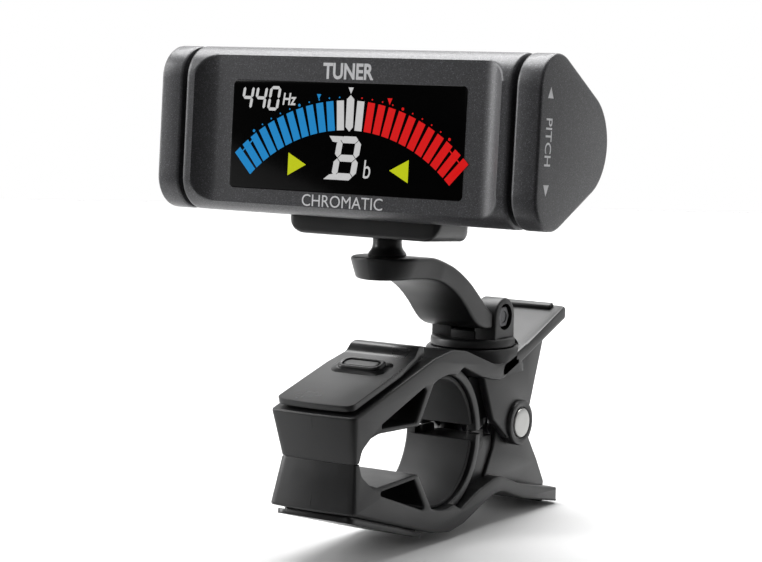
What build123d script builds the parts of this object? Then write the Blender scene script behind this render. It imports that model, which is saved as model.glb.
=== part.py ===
from build123d import *
import math
import os

# A battery tuner on a spring clip. Origin: centre of the round opening between
# the jaws. X runs across the clip, Y from the noses to the handles, Z up.

# ---------------------------------------------------------------- clip sizes
JAW_WIDTH = 16.4
NOSE_FRONT_Y = -28.4
NOSE_TOP_Z = 7.7
NOSE_BOW = 0.8
NOSE_TAPER = 1.1
NOSE_REAR_Y = -20.0
CONTACT_Y = -26.2
CONTACT_GAP = 0.12
SEAT_SLOPE = 16.0
STRIP_THICKNESS = 2.8
OPENING_R = 10.4
PAD_THICKNESS = 0.8
PAD_HALF_WIDTH = 6.3
RING_R = OPENING_R + PAD_THICKNESS + 0.05
RING_WALL = 1.5
RING_HALF_WIDTH = 7.1
PIVOT_Y = 24.9
BOSS_R = 4.0
PIN_R = 1.6
PIN_HEAD_R = 2.6
OUTER_EAR = (6.1, 7.6)
INNER_EAR = (4.5, 5.9)
BOSS_FACE_X = 8.3
UPPER_TIP = (41.9, 19.5)
LOWER_TIP = (39.6, 16.4)
RUNNING_CLEARANCE = 0.05

# ------------------------------------------------------- swivel and arm sizes
SWIVEL_Y = 21.3
SWIVEL_Z = 13.5
DISC_R = 7.4
DISC_THICKNESS = 1.6
SPIGOT_R = 2.4
HINGE_Z = 18.9
EAR_R = 3.3
EAR_OUTER_X = 6.5
TONGUE_HALF_WIDTH = 2.1
ARM_HALF_WIDTH = 6.0
ARM_TOP_Z = 31.1
ARM_THICKNESS = 3.7
STUD_Y = -6.8
STEM_R = 2.4
BALL_Z = 38.7
BALL_R = 3.2

# ------------------------------------------------------------------ head sizes
HEAD_HALF_LENGTH = 36.0
CAP_LENGTH = 4.4
GROOVE = 0.8
BODY_HALF_LENGTH = HEAD_HALF_LENGTH - CAP_LENGTH - GROOVE
HEAD_FRONT_Y = -21.5
HEAD_MID_Z = 51.6
HEAD_TILT = 3.6
CORNER_R = 5.5
CORNER_V = 8.0
APEX_U = 14.0
APEX_R = 8.5
WALL = 1.6
PARTING_U = 8.8
POCKET_DEPTH = 1.7
POCKET_HALF_LENGTH = 29.1
POCKET_RAMP = 4.0
LENS_LENGTH = 44.4
LENS_HEIGHT = 17.6
LENS_THICKNESS = 1.0
LENS_V = -0.8
DOOR_HALF_LENGTH = 24.0
DOOR_U = 17.0
SHAFT_U = 11.0
SHAFT_R = 2.45
SHAFT_END_X = 29.3
BATTERY_U = 14.6
BATTERY_R = 5.25
BATTERY_LENGTH = 44.5
DEEP = 40.0

os.makedirs("parts", exist_ok=True)


def save(piece, node):
    """Name a finished piece and write it as its own STEP file."""
    piece.part.label = node
    export_step(piece.part, f"parts/{node}.step")


def side_plane(x):
    """Plane across the clip at x: its own axes are Y and Z, and it faces +X."""
    return Plane(origin=(x, 0, 0), x_dir=(0, 1, 0), z_dir=(1, 0, 0))


TILT_SIN = math.sin(math.radians(HEAD_TILT))
TILT_COS = math.cos(math.radians(HEAD_TILT))
HEAD = Plane(origin=(0, HEAD_FRONT_Y, HEAD_MID_Z), x_dir=(1, 0, 0), z_dir=(0, TILT_SIN, TILT_COS))


def head_slice(x):
    """Plane across the head at x: its own axes are depth and height."""
    return Plane(origin=HEAD.from_local_coords((x, 0, 0)), x_dir=HEAD.y_dir, z_dir=HEAD.x_dir)


def head_face(depth):
    """Plane parallel to the head's front, that far behind it, facing the front."""
    return Plane(origin=HEAD.from_local_coords((0, depth, 0)), x_dir=HEAD.x_dir, z_dir=-HEAD.y_dir)


def head_level(height):
    """Plane parallel to the head's underside at that height, facing up."""
    return Plane(origin=HEAD.from_local_coords((0, 0, height)), x_dir=HEAD.x_dir, z_dir=HEAD.z_dir)


def head_outline(inset):
    """Rounded three-sided section of the head, drawn that far inside its skin."""
    corner_r = CORNER_R - inset
    apex_r = APEX_R - inset
    span = math.hypot(APEX_U - CORNER_R, CORNER_V)
    lean = math.degrees(math.atan2(-CORNER_V, APEX_U - CORNER_R))
    normal = lean + math.degrees(math.acos((CORNER_R - APEX_R) / span))
    with BuildLine() as outline:
        top = CenterArc((CORNER_R, CORNER_V), corner_r, 180, normal - 180)
        apex = CenterArc((APEX_U, 0), apex_r, normal, -2 * normal)
        bottom = CenterArc((CORNER_R, -CORNER_V), corner_r, -normal, normal - 180)
        Line(top @ 1, apex @ 0)
        Line(apex @ 1, bottom @ 0)
        Line(bottom @ 1, top @ 0)
    make_face(outline.edges())


# ------------------------------------------------------------------ the jaws
SEAT_END_Y = -3.0
SEAT_END_Z = NOSE_TOP_Z + (SEAT_END_Y - NOSE_FRONT_Y) * math.tan(math.radians(SEAT_SLOPE))
PEAK = (0.6, SEAT_END_Z + 0.5)
SADDLE_FRONT = (9.5, 13.2)
SADDLE = (17.0, 11.2)
HANDLE_START = (26.3, 13.6)


def strip_outline(tip):
    """Side view of the strip from the peak over the saddle to the handle's tip."""
    rise = math.atan2(tip[1] - HANDLE_START[1], tip[0] - HANDLE_START[0])
    drop = STRIP_THICKNESS * math.cos(rise)
    shift = STRIP_THICKNESS * math.sin(rise)
    under_tip = (tip[0] - 0.6, tip[1] - STRIP_THICKNESS)
    under_start = (HANDLE_START[0] + shift, HANDLE_START[1] - drop)
    slope = (math.cos(rise), math.sin(rise))
    seat = math.radians(SEAT_SLOPE)
    with BuildLine() as outline:
        Line((SEAT_END_Y, SEAT_END_Z - STRIP_THICKNESS), (SEAT_END_Y, SEAT_END_Z))
        Spline((SEAT_END_Y, SEAT_END_Z), PEAK, SADDLE_FRONT, SADDLE, HANDLE_START,
               tangents=((math.cos(seat), math.sin(seat)), slope))
        Line(HANDLE_START, tip)
        Line(tip, under_tip)
        Line(under_tip, under_start)
        Spline(under_start,
               (SADDLE[0], SADDLE[1] - STRIP_THICKNESS),
               (SADDLE_FRONT[0] - 1.0, SADDLE_FRONT[1] - STRIP_THICKNESS),
               (SEAT_END_Y, SEAT_END_Z - STRIP_THICKNESS),
               tangents=((-slope[0], -slope[1]), (-1, -0.05)))
    make_face(outline.edges())


THROAT_Y = -20.9
THROAT_Z = 4.3
STRUT_END = (-10.3, 3.9)
RIB_TOP = (-5.4, 10.2)
RIB_CLEAR_Y = -5.0
WINDOW_CORNERS = [(-20.9, 5.5), (-7.2, 10.4), (-11.0, 5.0)]
NOTCH_HEIGHT = 2.6
WEB_HALF_WIDTH = 5.4
WEB_CORNERS = [(11.0, 9.6), (11.0, 1.6), (19.4, 1.6), (19.6, 5.0), (20.0, 9.3)]
CHEEK_X = (4.4, 5.4)
CHEEK_Y = (11.6, 16.4)
CHEEK_Z = (CONTACT_GAP, 4.0)
UPPER_EAR_CORNERS = [(12.0, 10.4), (16.0, 1.8), (22.6, -3.2), (28.2, 2.2), (33.0, 14.0), (17.0, 10.2)]
LOWER_EAR_CORNERS = [(14.2, 11.0), (19.1, 4.1), (21.2, -1.2), (28.6, -1.2), (35.1, 8.3), (37.6, 12.6),
                     (37.6, 14.2), (27.0, 12.2), (17.0, 10.2)]
GRIP_RIB_R = 0.9
GRIP_RIB_SETBACK = 2.0
GRIP_RIB_HALF_LENGTH = 5.4


def truss_outline():
    """Side view of the nose, the strut under it and the rib beside the opening."""
    with BuildLine() as outline:
        Polyline((NOSE_FRONT_Y, NOSE_TOP_Z), (CONTACT_Y, CONTACT_GAP), (CONTACT_Y + 0.6, CONTACT_GAP),
                 (THROAT_Y, THROAT_Z), STRUT_END, RIB_TOP, (SEAT_END_Y, RING_R),
                 (SEAT_END_Y, SEAT_END_Z), (NOSE_FRONT_Y, NOSE_TOP_Z))
    make_face(outline.edges())


def truss_window():
    """Triangular hole between the strut, the strip and the rib."""
    with BuildLine() as outline:
        Polyline(*WINDOW_CORNERS, close=True)
    make_face(outline.edges())


def ear_outline(corners):
    """Side view of one ear: a gusset from the strip down to the pivot boss."""
    with BuildLine() as outline:
        Polyline(*corners, close=True)
    make_face(outline.edges())
    with Locations((PIVOT_Y, 0)):
        Circle(BOSS_R)


def make_jaw(ear, ear_corners, tip, pin_hole_r):
    """One lever of the clip, drawn as the upper one."""
    half = JAW_WIDTH / 2
    with BuildPart() as jaw:
        with BuildSketch(side_plane(0)):
            strip_outline(tip)
            truss_outline()
        extrude(amount=half, both=True)
        with BuildSketch(side_plane(0)) as window:
            truss_window()
            fillet(window.vertices(), radius=0.5)
        extrude(amount=half, both=True, mode=Mode.SUBTRACT)
        # The plan outline gives the bowed nose and the rounded corners.
        with BuildSketch(Plane.XY) as plan:
            with BuildLine():
                corner_y = NOSE_FRONT_Y + NOSE_BOW
                ThreePointArc((-half, corner_y), (0, NOSE_FRONT_Y), (half, corner_y))
                Polyline((half, corner_y), (half, tip[0]), (-half, tip[0]), (-half, corner_y))
            make_face()
            fillet(plan.vertices().group_by(Axis.Y)[0], radius=1.2)
            fillet(plan.vertices().group_by(Axis.Y)[-1], radius=2.2)
        extrude(amount=tip[1] + 2, mode=Mode.INTERSECT)
        # The nose narrows towards the contact face.
        for side in (-1, 1):
            with BuildSketch(Plane.XZ.offset(-NOSE_REAR_Y)):
                with BuildLine() as wedge:
                    Polyline((side * half, NOSE_TOP_Z), (side * half, 0), (side * (half - NOSE_TAPER), 0),
                             close=True)
                make_face(wedge.edges())
            extrude(amount=NOSE_REAR_Y - NOSE_FRONT_Y, mode=Mode.SUBTRACT)
        # Solid web that ties the wall behind the opening to the strip.
        with BuildSketch(side_plane(0)):
            with BuildLine() as web:
                Polyline(*WEB_CORNERS, close=True)
            make_face(web.edges())
        extrude(amount=WEB_HALF_WIDTH, both=True)
        # Cheeks that close the notch at its two sides.
        for side in (-1, 1):
            with BuildSketch(side_plane(side * CHEEK_X[0])):
                with Locations((sum(CHEEK_Y) / 2, sum(CHEEK_Z) / 2)):
                    Rectangle(CHEEK_Y[1] - CHEEK_Y[0], CHEEK_Z[1] - CHEEK_Z[0])
            extrude(amount=side * (CHEEK_X[1] - CHEEK_X[0]))
        # The C-shaped wall behind the round opening.
        with BuildSketch(side_plane(0)):
            Circle(RING_R + RING_WALL)
            Circle(RING_R, mode=Mode.SUBTRACT)
            with Locations((0, -RING_R)):
                Rectangle(4 * RING_R, 2 * RING_R + 0.6, mode=Mode.SUBTRACT)
            with Locations((-RING_R - 4.0, 0)):
                Rectangle(2 * RING_R, 4 * RING_R, mode=Mode.SUBTRACT)
        extrude(amount=RING_HALF_WIDTH, both=True)
        with BuildSketch(side_plane(0)):
            Circle(RING_R)
            with Locations((-RING_R + RIB_CLEAR_Y, 0)):
                Rectangle(2 * RING_R, 2 * RING_R, mode=Mode.SUBTRACT)
        extrude(amount=RING_HALF_WIDTH + 2, both=True, mode=Mode.SUBTRACT)
        # The notch that shows the spring.
        with BuildSketch(side_plane(0)):
            with Locations((RING_R + RING_WALL / 2, 0)):
                Rectangle(3 * RING_WALL, NOTCH_HEIGHT)
        extrude(amount=CHEEK_X[0], both=True, mode=Mode.SUBTRACT)
        for side in (-1, 1):
            with BuildSketch(side_plane(side * ear[0])):
                ear_outline(ear_corners)
            extrude(amount=side * (ear[1] - ear[0]))
        with BuildSketch(side_plane(0)):
            with Locations((PIVOT_Y, 0)):
                Circle(pin_hole_r)
        extrude(amount=half, both=True, mode=Mode.SUBTRACT)
        # Grip rib across the handle near its tip.
        with BuildSketch(side_plane(0)):
            with Locations((tip[0] - GRIP_RIB_SETBACK, tip[1] - GRIP_RIB_SETBACK / 3)):
                Circle(GRIP_RIB_R)
        extrude(amount=GRIP_RIB_HALF_LENGTH, both=True)
    return jaw.part


upper_blank = make_jaw(OUTER_EAR, UPPER_EAR_CORNERS, UPPER_TIP, PIN_R + 0.02)

with BuildPart() as upper_jaw:
    add(upper_blank)
    # Raised rings round the pin's two ends.
    for side in (-1, 1):
        with BuildSketch(side_plane(side * OUTER_EAR[1])):
            with Locations((PIVOT_Y, 0)):
                Circle(BOSS_R)
                Circle(PIN_HEAD_R + 0.1, mode=Mode.SUBTRACT)
        extrude(amount=side * (BOSS_FACE_X - OUTER_EAR[1]))
    # Flared seat for the turntable, bored for its spigot.
    with BuildSketch(Plane.XY.offset(SWIVEL_Z)):
        with Locations((0, SWIVEL_Y)):
            Circle(DISC_R + 0.3)
    extrude(amount=-3.0, taper=-20)
    # The flare is cut off level with the sides of the strip.
    for side in (-1, 1):
        with BuildSketch(side_plane(side * JAW_WIDTH / 2)):
            with Locations((SWIVEL_Y, SWIVEL_Z)):
                Rectangle(3 * DISC_R, 8)
        extrude(amount=side * 3, mode=Mode.SUBTRACT)
    with BuildSketch(Plane.XY.offset(SWIVEL_Z)):
        with Locations((0, SWIVEL_Y)):
            Circle(DISC_R + 0.6)
    extrude(amount=4.0, mode=Mode.SUBTRACT)
    with BuildSketch(Plane.XY.offset(9.0)):
        with Locations((0, SWIVEL_Y)):
            Circle(4.2)
    extrude(amount=3.0)
    with BuildSketch(Plane.XY.offset(7.0)):
        with Locations((0, SWIVEL_Y)):
            Circle(3.7)
    extrude(amount=2.0, mode=Mode.SUBTRACT)
    with BuildSketch(Plane.XY.offset(7.0)):
        with Locations((0, SWIVEL_Y)):
            Circle(SPIGOT_R + RUNNING_CLEARANCE)
    extrude(amount=8.0, mode=Mode.SUBTRACT)
save(upper_jaw, "upper_jaw")

lower_blank = make_jaw(INNER_EAR, LOWER_EAR_CORNERS, LOWER_TIP, PIN_R + RUNNING_CLEARANCE)

with BuildPart() as lower_jaw:
    mirror(lower_blank, about=Plane.XY)
save(lower_jaw, "lower_jaw")

# ----------------------------------------------------------------- jaw covers
SEAT_SIN = math.sin(math.radians(SEAT_SLOPE))
SEAT_COS = math.cos(math.radians(SEAT_SLOPE))
COVER_GAP = 0.5
COVER_THICKNESS = 1.0
LOWER_COVER_GAP = 0.25
LOWER_COVER_THICKNESS = 0.8
COVER_LENGTH = 24.6
COVER_HALF_WIDTH = 7.3
COVER_SETBACK = 0.9
COVER_TAPER_V = 17.2
LIP_HALF_WIDTH = 6.5
LIP_HEIGHT = 1.0
LIP_FOOT_V = 21.1
LIP_TOP_V = 23.3


def seat_plane(height):
    """Plane parallel to the sloped seat on the upper jaw, at that height over it."""
    origin = (0, NOSE_FRONT_Y - height * SEAT_SIN, NOSE_TOP_Z + height * SEAT_COS)
    return Plane(origin=origin, x_dir=(1, 0, 0), z_dir=(0, -SEAT_SIN, SEAT_COS))


def cover_plan(inset):
    """Plan of the cover: bowed front, straight sides, narrower rear end."""
    wide = COVER_HALF_WIDTH - inset
    narrow = LIP_HALF_WIDTH - inset
    rear = COVER_LENGTH - inset
    with BuildLine() as outline:
        front = COVER_SETBACK + inset
        corner = front + NOSE_BOW
        ThreePointArc((-wide, corner), (0, front), (wide, corner))
        Polyline((wide, corner), (wide, COVER_TAPER_V), (narrow, rear), (-narrow, rear),
                 (-wide, COVER_TAPER_V), (-wide, corner))
    make_face(outline.edges())


def make_cover(gap, thickness, lip_height):
    """Cover plate on a smaller spacer, so that a shadow gap runs round it."""
    with BuildPart() as cover:
        with BuildSketch(seat_plane(0.0)):
            cover_plan(1.0)
        extrude(amount=gap)
        with BuildSketch(seat_plane(gap)):
            cover_plan(0.0)
        extrude(amount=thickness + lip_height)
        # The top falls from the rear lip to the flat of the plate.
        top = gap + thickness
        lip = top + lip_height
        past_rear = COVER_LENGTH + 1
        if lip_height > 0:
            lip_plane = Plane(origin=seat_plane(0.0).origin, x_dir=(0, SEAT_COS, SEAT_SIN), z_dir=(1, 0, 0))
            with BuildSketch(lip_plane):
                with BuildLine():
                    Line((-3, top), (LIP_FOOT_V, top))
                    Spline((LIP_FOOT_V, top), (LIP_TOP_V, lip), tangents=((1, 0), (1, 0)))
                    Polyline((LIP_TOP_V, lip), (past_rear, lip), (past_rear, lip + 3), (-3, lip + 3),
                             (-3, top))
                make_face()
            extrude(amount=COVER_HALF_WIDTH + 1, both=True, mode=Mode.SUBTRACT)
    return cover.part


BUMP_V = 15.7

with BuildPart() as upper_cover:
    add(make_cover(COVER_GAP, COVER_THICKNESS, LIP_HEIGHT))
    with BuildSketch(seat_plane(COVER_GAP + COVER_THICKNESS)):
        with Locations((0, BUMP_V)):
            RectangleRounded(10.2, 5.4, 2.0)
    extrude(amount=0.45, taper=35)
    with BuildSketch(seat_plane(COVER_GAP + COVER_THICKNESS)):
        with Locations((0, BUMP_V)):
            RectangleRounded(8.4, 3.9, 1.6)
    extrude(amount=0.95)
    with BuildSketch(seat_plane(COVER_GAP + COVER_THICKNESS + 0.65)):
        with Locations((0, BUMP_V)):
            RectangleRounded(6.6, 2.4, 1.0)
    extrude(amount=1.0, mode=Mode.SUBTRACT)
save(upper_cover, "upper_cover")

with BuildPart() as lower_cover:
    mirror(make_cover(LOWER_COVER_GAP, LOWER_COVER_THICKNESS, 0), about=Plane.XY)
save(lower_cover, "lower_cover")


def pad_outline(side):
    """Side view of a soft liner: an arc inside the round opening."""
    start = math.radians(7)
    middle = math.radians(60)
    end = math.radians(118)
    inner = OPENING_R
    outer = OPENING_R + PAD_THICKNESS

    def at(radius, angle):
        return (radius * math.cos(angle), side * radius * math.sin(angle))

    with BuildLine() as outline:
        ThreePointArc(at(inner, start), at(inner, middle), at(inner, end))
        Line(at(inner, end), at(outer, end))
        ThreePointArc(at(outer, end), at(outer, middle), at(outer, start))
        Line(at(outer, start), at(inner, start))
    make_face(outline.edges())


with BuildPart() as upper_pad:
    with BuildSketch(side_plane(0)):
        pad_outline(1)
    extrude(amount=PAD_HALF_WIDTH, both=True)
save(upper_pad, "upper_pad")

with BuildPart() as lower_pad:
    with BuildSketch(side_plane(0)):
        pad_outline(-1)
    extrude(amount=PAD_HALF_WIDTH, both=True)
save(lower_pad, "lower_pad")

# --------------------------------------------------------------- pivot, spring
HEAD_SEAT_X = OUTER_EAR[1]
PIN_FACE_X = BOSS_FACE_X + 0.15

with BuildPart() as pivot_pin:
    with BuildSketch(side_plane(-BOSS_FACE_X)):
        with Locations((PIVOT_Y, 0)):
            Circle(PIN_R)
    extrude(amount=BOSS_FACE_X + HEAD_SEAT_X)
    with BuildSketch(side_plane(HEAD_SEAT_X)):
        with Locations((PIVOT_Y, 0)):
            Circle(PIN_HEAD_R)
    extrude(amount=PIN_FACE_X - HEAD_SEAT_X)
    fillet(pivot_pin.edges().filter_by(GeomType.CIRCLE).sort_by(Axis.X)[-1], radius=0.25)
save(pivot_pin, "pivot_pin")

with BuildPart() as pin_cap:
    with BuildSketch(side_plane(-HEAD_SEAT_X)):
        with Locations((PIVOT_Y, 0)):
            Circle(PIN_HEAD_R)
    extrude(amount=HEAD_SEAT_X - PIN_FACE_X)
    with BuildSketch(side_plane(-HEAD_SEAT_X)):
        with Locations((PIVOT_Y, 0)):
            Circle(PIN_R + 0.01)
    extrude(amount=HEAD_SEAT_X - BOSS_FACE_X - 0.02, mode=Mode.SUBTRACT)
save(pin_cap, "pin_cap")

WIRE_R = 0.6
COIL_R = 2.55
COIL_PITCH = 1.36
COIL_TURNS = 5.5
LEG_ANGLE = math.radians(52)
LEG_LENGTH = 10.4
COIL_HALF = COIL_PITCH * COIL_TURNS / 2

with BuildPart() as torsion_spring:
    with BuildLine() as coil_path:
        Helix(pitch=COIL_PITCH, height=COIL_PITCH * COIL_TURNS, radius=COIL_R,
              center=(-COIL_HALF, PIVOT_Y, 0), direction=(1, 0, 0))
    with BuildSketch(Plane(origin=coil_path.line @ 0, z_dir=coil_path.line % 0)):
        Circle(WIRE_R)
    sweep(path=coil_path.line)
    for end in (0, 1):
        start = coil_path.line @ end
        rise = math.copysign(math.sin(LEG_ANGLE), start.Z)
        with Locations(start):
            Sphere(WIRE_R)
        with BuildSketch(Plane(origin=start, z_dir=(0, math.cos(LEG_ANGLE), rise))):
            Circle(WIRE_R)
        extrude(amount=LEG_LENGTH)
save(torsion_spring, "torsion_spring")

# ------------------------------------------------------------ swivel and hinge
DISC_BOTTOM_Z = SWIVEL_Z + 0.1
DISC_TOP_Z = DISC_BOTTOM_Z + DISC_THICKNESS
PLINTH_TOP_Z = 16.5
EAR_INNER_X = TONGUE_HALF_WIDTH + 0.1
SCREW_R = 1.0
HEX_FLATS = 3.4

with BuildPart() as turntable:
    with BuildSketch(Plane.XY.offset(DISC_BOTTOM_Z)):
        with Locations((0, SWIVEL_Y)):
            Circle(DISC_R)
    extrude(amount=DISC_THICKNESS)
    fillet(turntable.edges().group_by(Axis.Z)[-1], radius=0.35)
    with BuildSketch(side_plane(0)):
        with Locations((SWIVEL_Y, (DISC_TOP_Z + PLINTH_TOP_Z) / 2)):
            Rectangle(2 * EAR_R, PLINTH_TOP_Z - DISC_TOP_Z + 0.2)
    extrude(amount=EAR_INNER_X, both=True)
    for side in (-1, 1):
        with BuildSketch(side_plane(side * EAR_INNER_X)):
            with Locations((SWIVEL_Y, HINGE_Z)):
                Circle(EAR_R)
            with Locations((SWIVEL_Y, (DISC_TOP_Z + HINGE_Z) / 2 - 0.1)):
                Rectangle(2 * EAR_R, HINGE_Z - DISC_TOP_Z + 0.2)
        extrude(amount=side * (EAR_OUTER_X - EAR_INNER_X))
    with BuildSketch(side_plane(0)):
        with Locations((SWIVEL_Y, HINGE_Z)):
            Circle(EAR_R - 0.2)
    extrude(amount=EAR_INNER_X, both=True, mode=Mode.SUBTRACT)
    with BuildSketch(side_plane(0)):
        with Locations((SWIVEL_Y, HINGE_Z)):
            Circle(SCREW_R + 0.02)
    extrude(amount=EAR_OUTER_X, both=True, mode=Mode.SUBTRACT)
    with BuildSketch(side_plane(EAR_OUTER_X)):
        with Locations((SWIVEL_Y, HINGE_Z)):
            RegularPolygon(HEX_FLATS / 2 + 0.05, 6, major_radius=False)
    extrude(amount=-1.7, mode=Mode.SUBTRACT)
    with BuildSketch(side_plane(-EAR_OUTER_X)):
        with Locations((SWIVEL_Y, HINGE_Z)):
            Circle(1.95)
    extrude(amount=1.5, mode=Mode.SUBTRACT)
    with BuildSketch(Plane.XY.offset(DISC_BOTTOM_Z)):
        with Locations((0, SWIVEL_Y)):
            Circle(SPIGOT_R)
    extrude(amount=8.9 - DISC_BOTTOM_Z)
    with BuildSketch(Plane.XY.offset(8.9)):
        with Locations((0, SWIVEL_Y)):
            Circle(SCREW_R + 0.02)
    extrude(amount=5.0, mode=Mode.SUBTRACT)
save(turntable, "turntable")

with BuildPart() as swivel_screw:
    with BuildSketch(Plane.XY.offset(8.0)):
        with Locations((0, SWIVEL_Y)):
            Circle(3.4)
    extrude(amount=0.8)
    with BuildSketch(Plane.XY.offset(8.0)):
        with Locations((0, SWIVEL_Y)):
            Circle(SCREW_R)
    extrude(amount=5.5)
    with BuildSketch(Plane.XY.offset(8.0)):
        with Locations((0, SWIVEL_Y)):
            Rectangle(2.6, 0.5)
            Rectangle(0.5, 2.6)
    extrude(amount=0.5, mode=Mode.SUBTRACT)
save(swivel_screw, "swivel_screw")

NUT_X = EAR_OUTER_X - 1.7

with BuildPart() as hinge_screw:
    with BuildSketch(side_plane(-EAR_OUTER_X + 0.2)):
        with Locations((SWIVEL_Y, HINGE_Z)):
            Circle(1.9)
    extrude(amount=1.2)
    with BuildSketch(side_plane(-EAR_OUTER_X + 0.2)):
        with Locations((SWIVEL_Y, HINGE_Z)):
            Circle(SCREW_R)
    extrude(amount=2 * EAR_OUTER_X - 0.7)
    with BuildSketch(side_plane(-EAR_OUTER_X + 0.2)):
        with Locations((SWIVEL_Y, HINGE_Z)):
            Rectangle(2.4, 0.45)
            Rectangle(0.45, 2.4)
    extrude(amount=0.6, mode=Mode.SUBTRACT)
save(hinge_screw, "hinge_screw")

with BuildPart() as hinge_nut:
    with BuildSketch(side_plane(NUT_X)):
        with Locations((SWIVEL_Y, HINGE_Z)):
            RegularPolygon(HEX_FLATS / 2, 6, major_radius=False)
            Circle(SCREW_R + 0.01, mode=Mode.SUBTRACT)
    extrude(amount=1.2)
save(hinge_nut, "hinge_nut")

# ------------------------------------------------------------------------ arm
SHOULDER_Y = SWIVEL_Y - EAR_R - 0.35
ARM_BOTTOM_Z = ARM_TOP_Z - ARM_THICKNESS
ARM_END_Z = 17.1
STUD_SPIGOT_R = 1.8


def arm_outline():
    """Side view of the strap: level, then down in an S to the shoulder."""
    with BuildLine() as outline:
        Line((STUD_Y, ARM_BOTTOM_Z), (STUD_Y, ARM_TOP_Z))
        Spline((STUD_Y, ARM_TOP_Z), (0.7, 30.3), (7.8, 27.5), (13.3, 23.6), (SHOULDER_Y, 20.2),
               tangents=((1, -0.06), (1, -0.55)))
        Line((SHOULDER_Y, 20.2), (SHOULDER_Y, ARM_END_Z))
        Spline((SHOULDER_Y, ARM_END_Z), (13.6, 17.9), (9.1, 21.7), (3.4, 25.5), (STUD_Y, ARM_BOTTOM_Z),
               tangents=((-1, 0), (-1, 0.04)))
    make_face(outline.edges())


with BuildPart() as arm:
    with BuildSketch(side_plane(0)):
        arm_outline()
    extrude(amount=ARM_HALF_WIDTH, both=True)
    with BuildSketch(Plane.XY.offset(ARM_TOP_Z)):
        with Locations((0, STUD_Y)):
            Circle(ARM_HALF_WIDTH)
    with BuildSketch(Plane.XY.offset(ARM_BOTTOM_Z)):
        with Locations((0, STUD_Y)):
            Circle(ARM_HALF_WIDTH - 0.8)
    loft()
    # Tongue between the ears of the turntable.
    with BuildSketch(side_plane(0)):
        with Locations((SWIVEL_Y, HINGE_Z)):
            Circle(EAR_R - 0.5)
        with Locations(((SWIVEL_Y + SHOULDER_Y) / 2, HINGE_Z)):
            Rectangle(SWIVEL_Y - SHOULDER_Y + 0.2, 2.4)
    extrude(amount=TONGUE_HALF_WIDTH, both=True)
    with BuildSketch(side_plane(0)):
        with Locations((SWIVEL_Y, HINGE_Z)):
            Circle(SCREW_R + RUNNING_CLEARANCE)
    extrude(amount=TONGUE_HALF_WIDTH, both=True, mode=Mode.SUBTRACT)
    with BuildSketch(Plane.XY.offset(ARM_BOTTOM_Z - 1)):
        with Locations((0, STUD_Y)):
            Circle(STUD_SPIGOT_R + RUNNING_CLEARANCE)
    extrude(amount=ARM_THICKNESS + 2, mode=Mode.SUBTRACT)
    with BuildSketch(Plane.XY.offset(ARM_BOTTOM_Z)):
        with Locations((0, STUD_Y)):
            Circle(3.0)
    extrude(amount=1.2, mode=Mode.SUBTRACT)
save(arm, "arm")

NECK_R = 1.7

with BuildPart() as ball_stud:
    with BuildSketch(Plane.XZ.offset(-STUD_Y)):
        with BuildLine():
            Polyline((0, ARM_BOTTOM_Z + 1.2), (STUD_SPIGOT_R, ARM_BOTTOM_Z + 1.2),
                     (STUD_SPIGOT_R, ARM_TOP_Z + 0.08), (3.1, ARM_TOP_Z + 0.08),
                     (3.1, ARM_TOP_Z + 0.3), (STEM_R, ARM_TOP_Z + 1.3), (STEM_R, BALL_Z - 3.4),
                     (NECK_R, BALL_Z - 2.6), (NECK_R, BALL_Z), (0, BALL_Z),
                     (0, ARM_BOTTOM_Z + 1.2))
        make_face()
    revolve(axis=Axis((0, STUD_Y, 0), (0, 0, 1)))
    with Locations((0, STUD_Y, BALL_Z)):
        Sphere(BALL_R)
    with BuildSketch(Plane.XY.offset(ARM_BOTTOM_Z)):
        with Locations((0, STUD_Y)):
            Circle(0.82)
    extrude(amount=5.0, mode=Mode.SUBTRACT)
save(ball_stud, "ball_stud")

with BuildPart() as stud_screw:
    with BuildSketch(Plane.XY.offset(ARM_BOTTOM_Z + 0.1)):
        with Locations((0, STUD_Y)):
            Circle(2.7)
    extrude(amount=0.95)
    with BuildSketch(Plane.XY.offset(ARM_BOTTOM_Z + 0.1)):
        with Locations((0, STUD_Y)):
            Circle(0.8)
    extrude(amount=4.5)
    with BuildSketch(Plane.XY.offset(ARM_BOTTOM_Z + 0.1)):
        with Locations((0, STUD_Y)):
            Rectangle(2.4, 0.5)
            Rectangle(0.5, 2.4)
    extrude(amount=0.5, mode=Mode.SUBTRACT)
save(stud_screw, "stud_screw")

# ------------------------------------------------------------- ball joint
BALL_LOCAL = HEAD.to_local_coords(Vector(0, STUD_Y, BALL_Z))
SEAT_INNER_R = BALL_R + RUNNING_CLEARANCE
SEAT_OUTER_R = SEAT_INNER_R + 0.95
HOUSING_CAVITY_R = SEAT_OUTER_R + RUNNING_CLEARANCE
LIP_DROP = 1.8
HOUSING_LENGTH = 29.2
HOUSING_DEPTH = 12.0
HOUSING_FRONT_U = BALL_LOCAL.Y - 7.5
HOUSING_DROP = 4.5
HOUSING_BOTTOM_V = BALL_LOCAL.Z - HOUSING_DROP
MOUTH_R = 3.45
MOUTH_FLARE = 0.9
MOUTH_FLARE_ANGLE = 29
HOUSING_SCREW_X = 10.0
HOUSING_MID_U = HOUSING_FRONT_U + HOUSING_DEPTH / 2
DOOR_CLEARANCE = 0.3


def ball_level(rise):
    """Level plane of the head, that far over the ball's centre."""
    return head_level(BALL_LOCAL.Z + rise)


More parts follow.
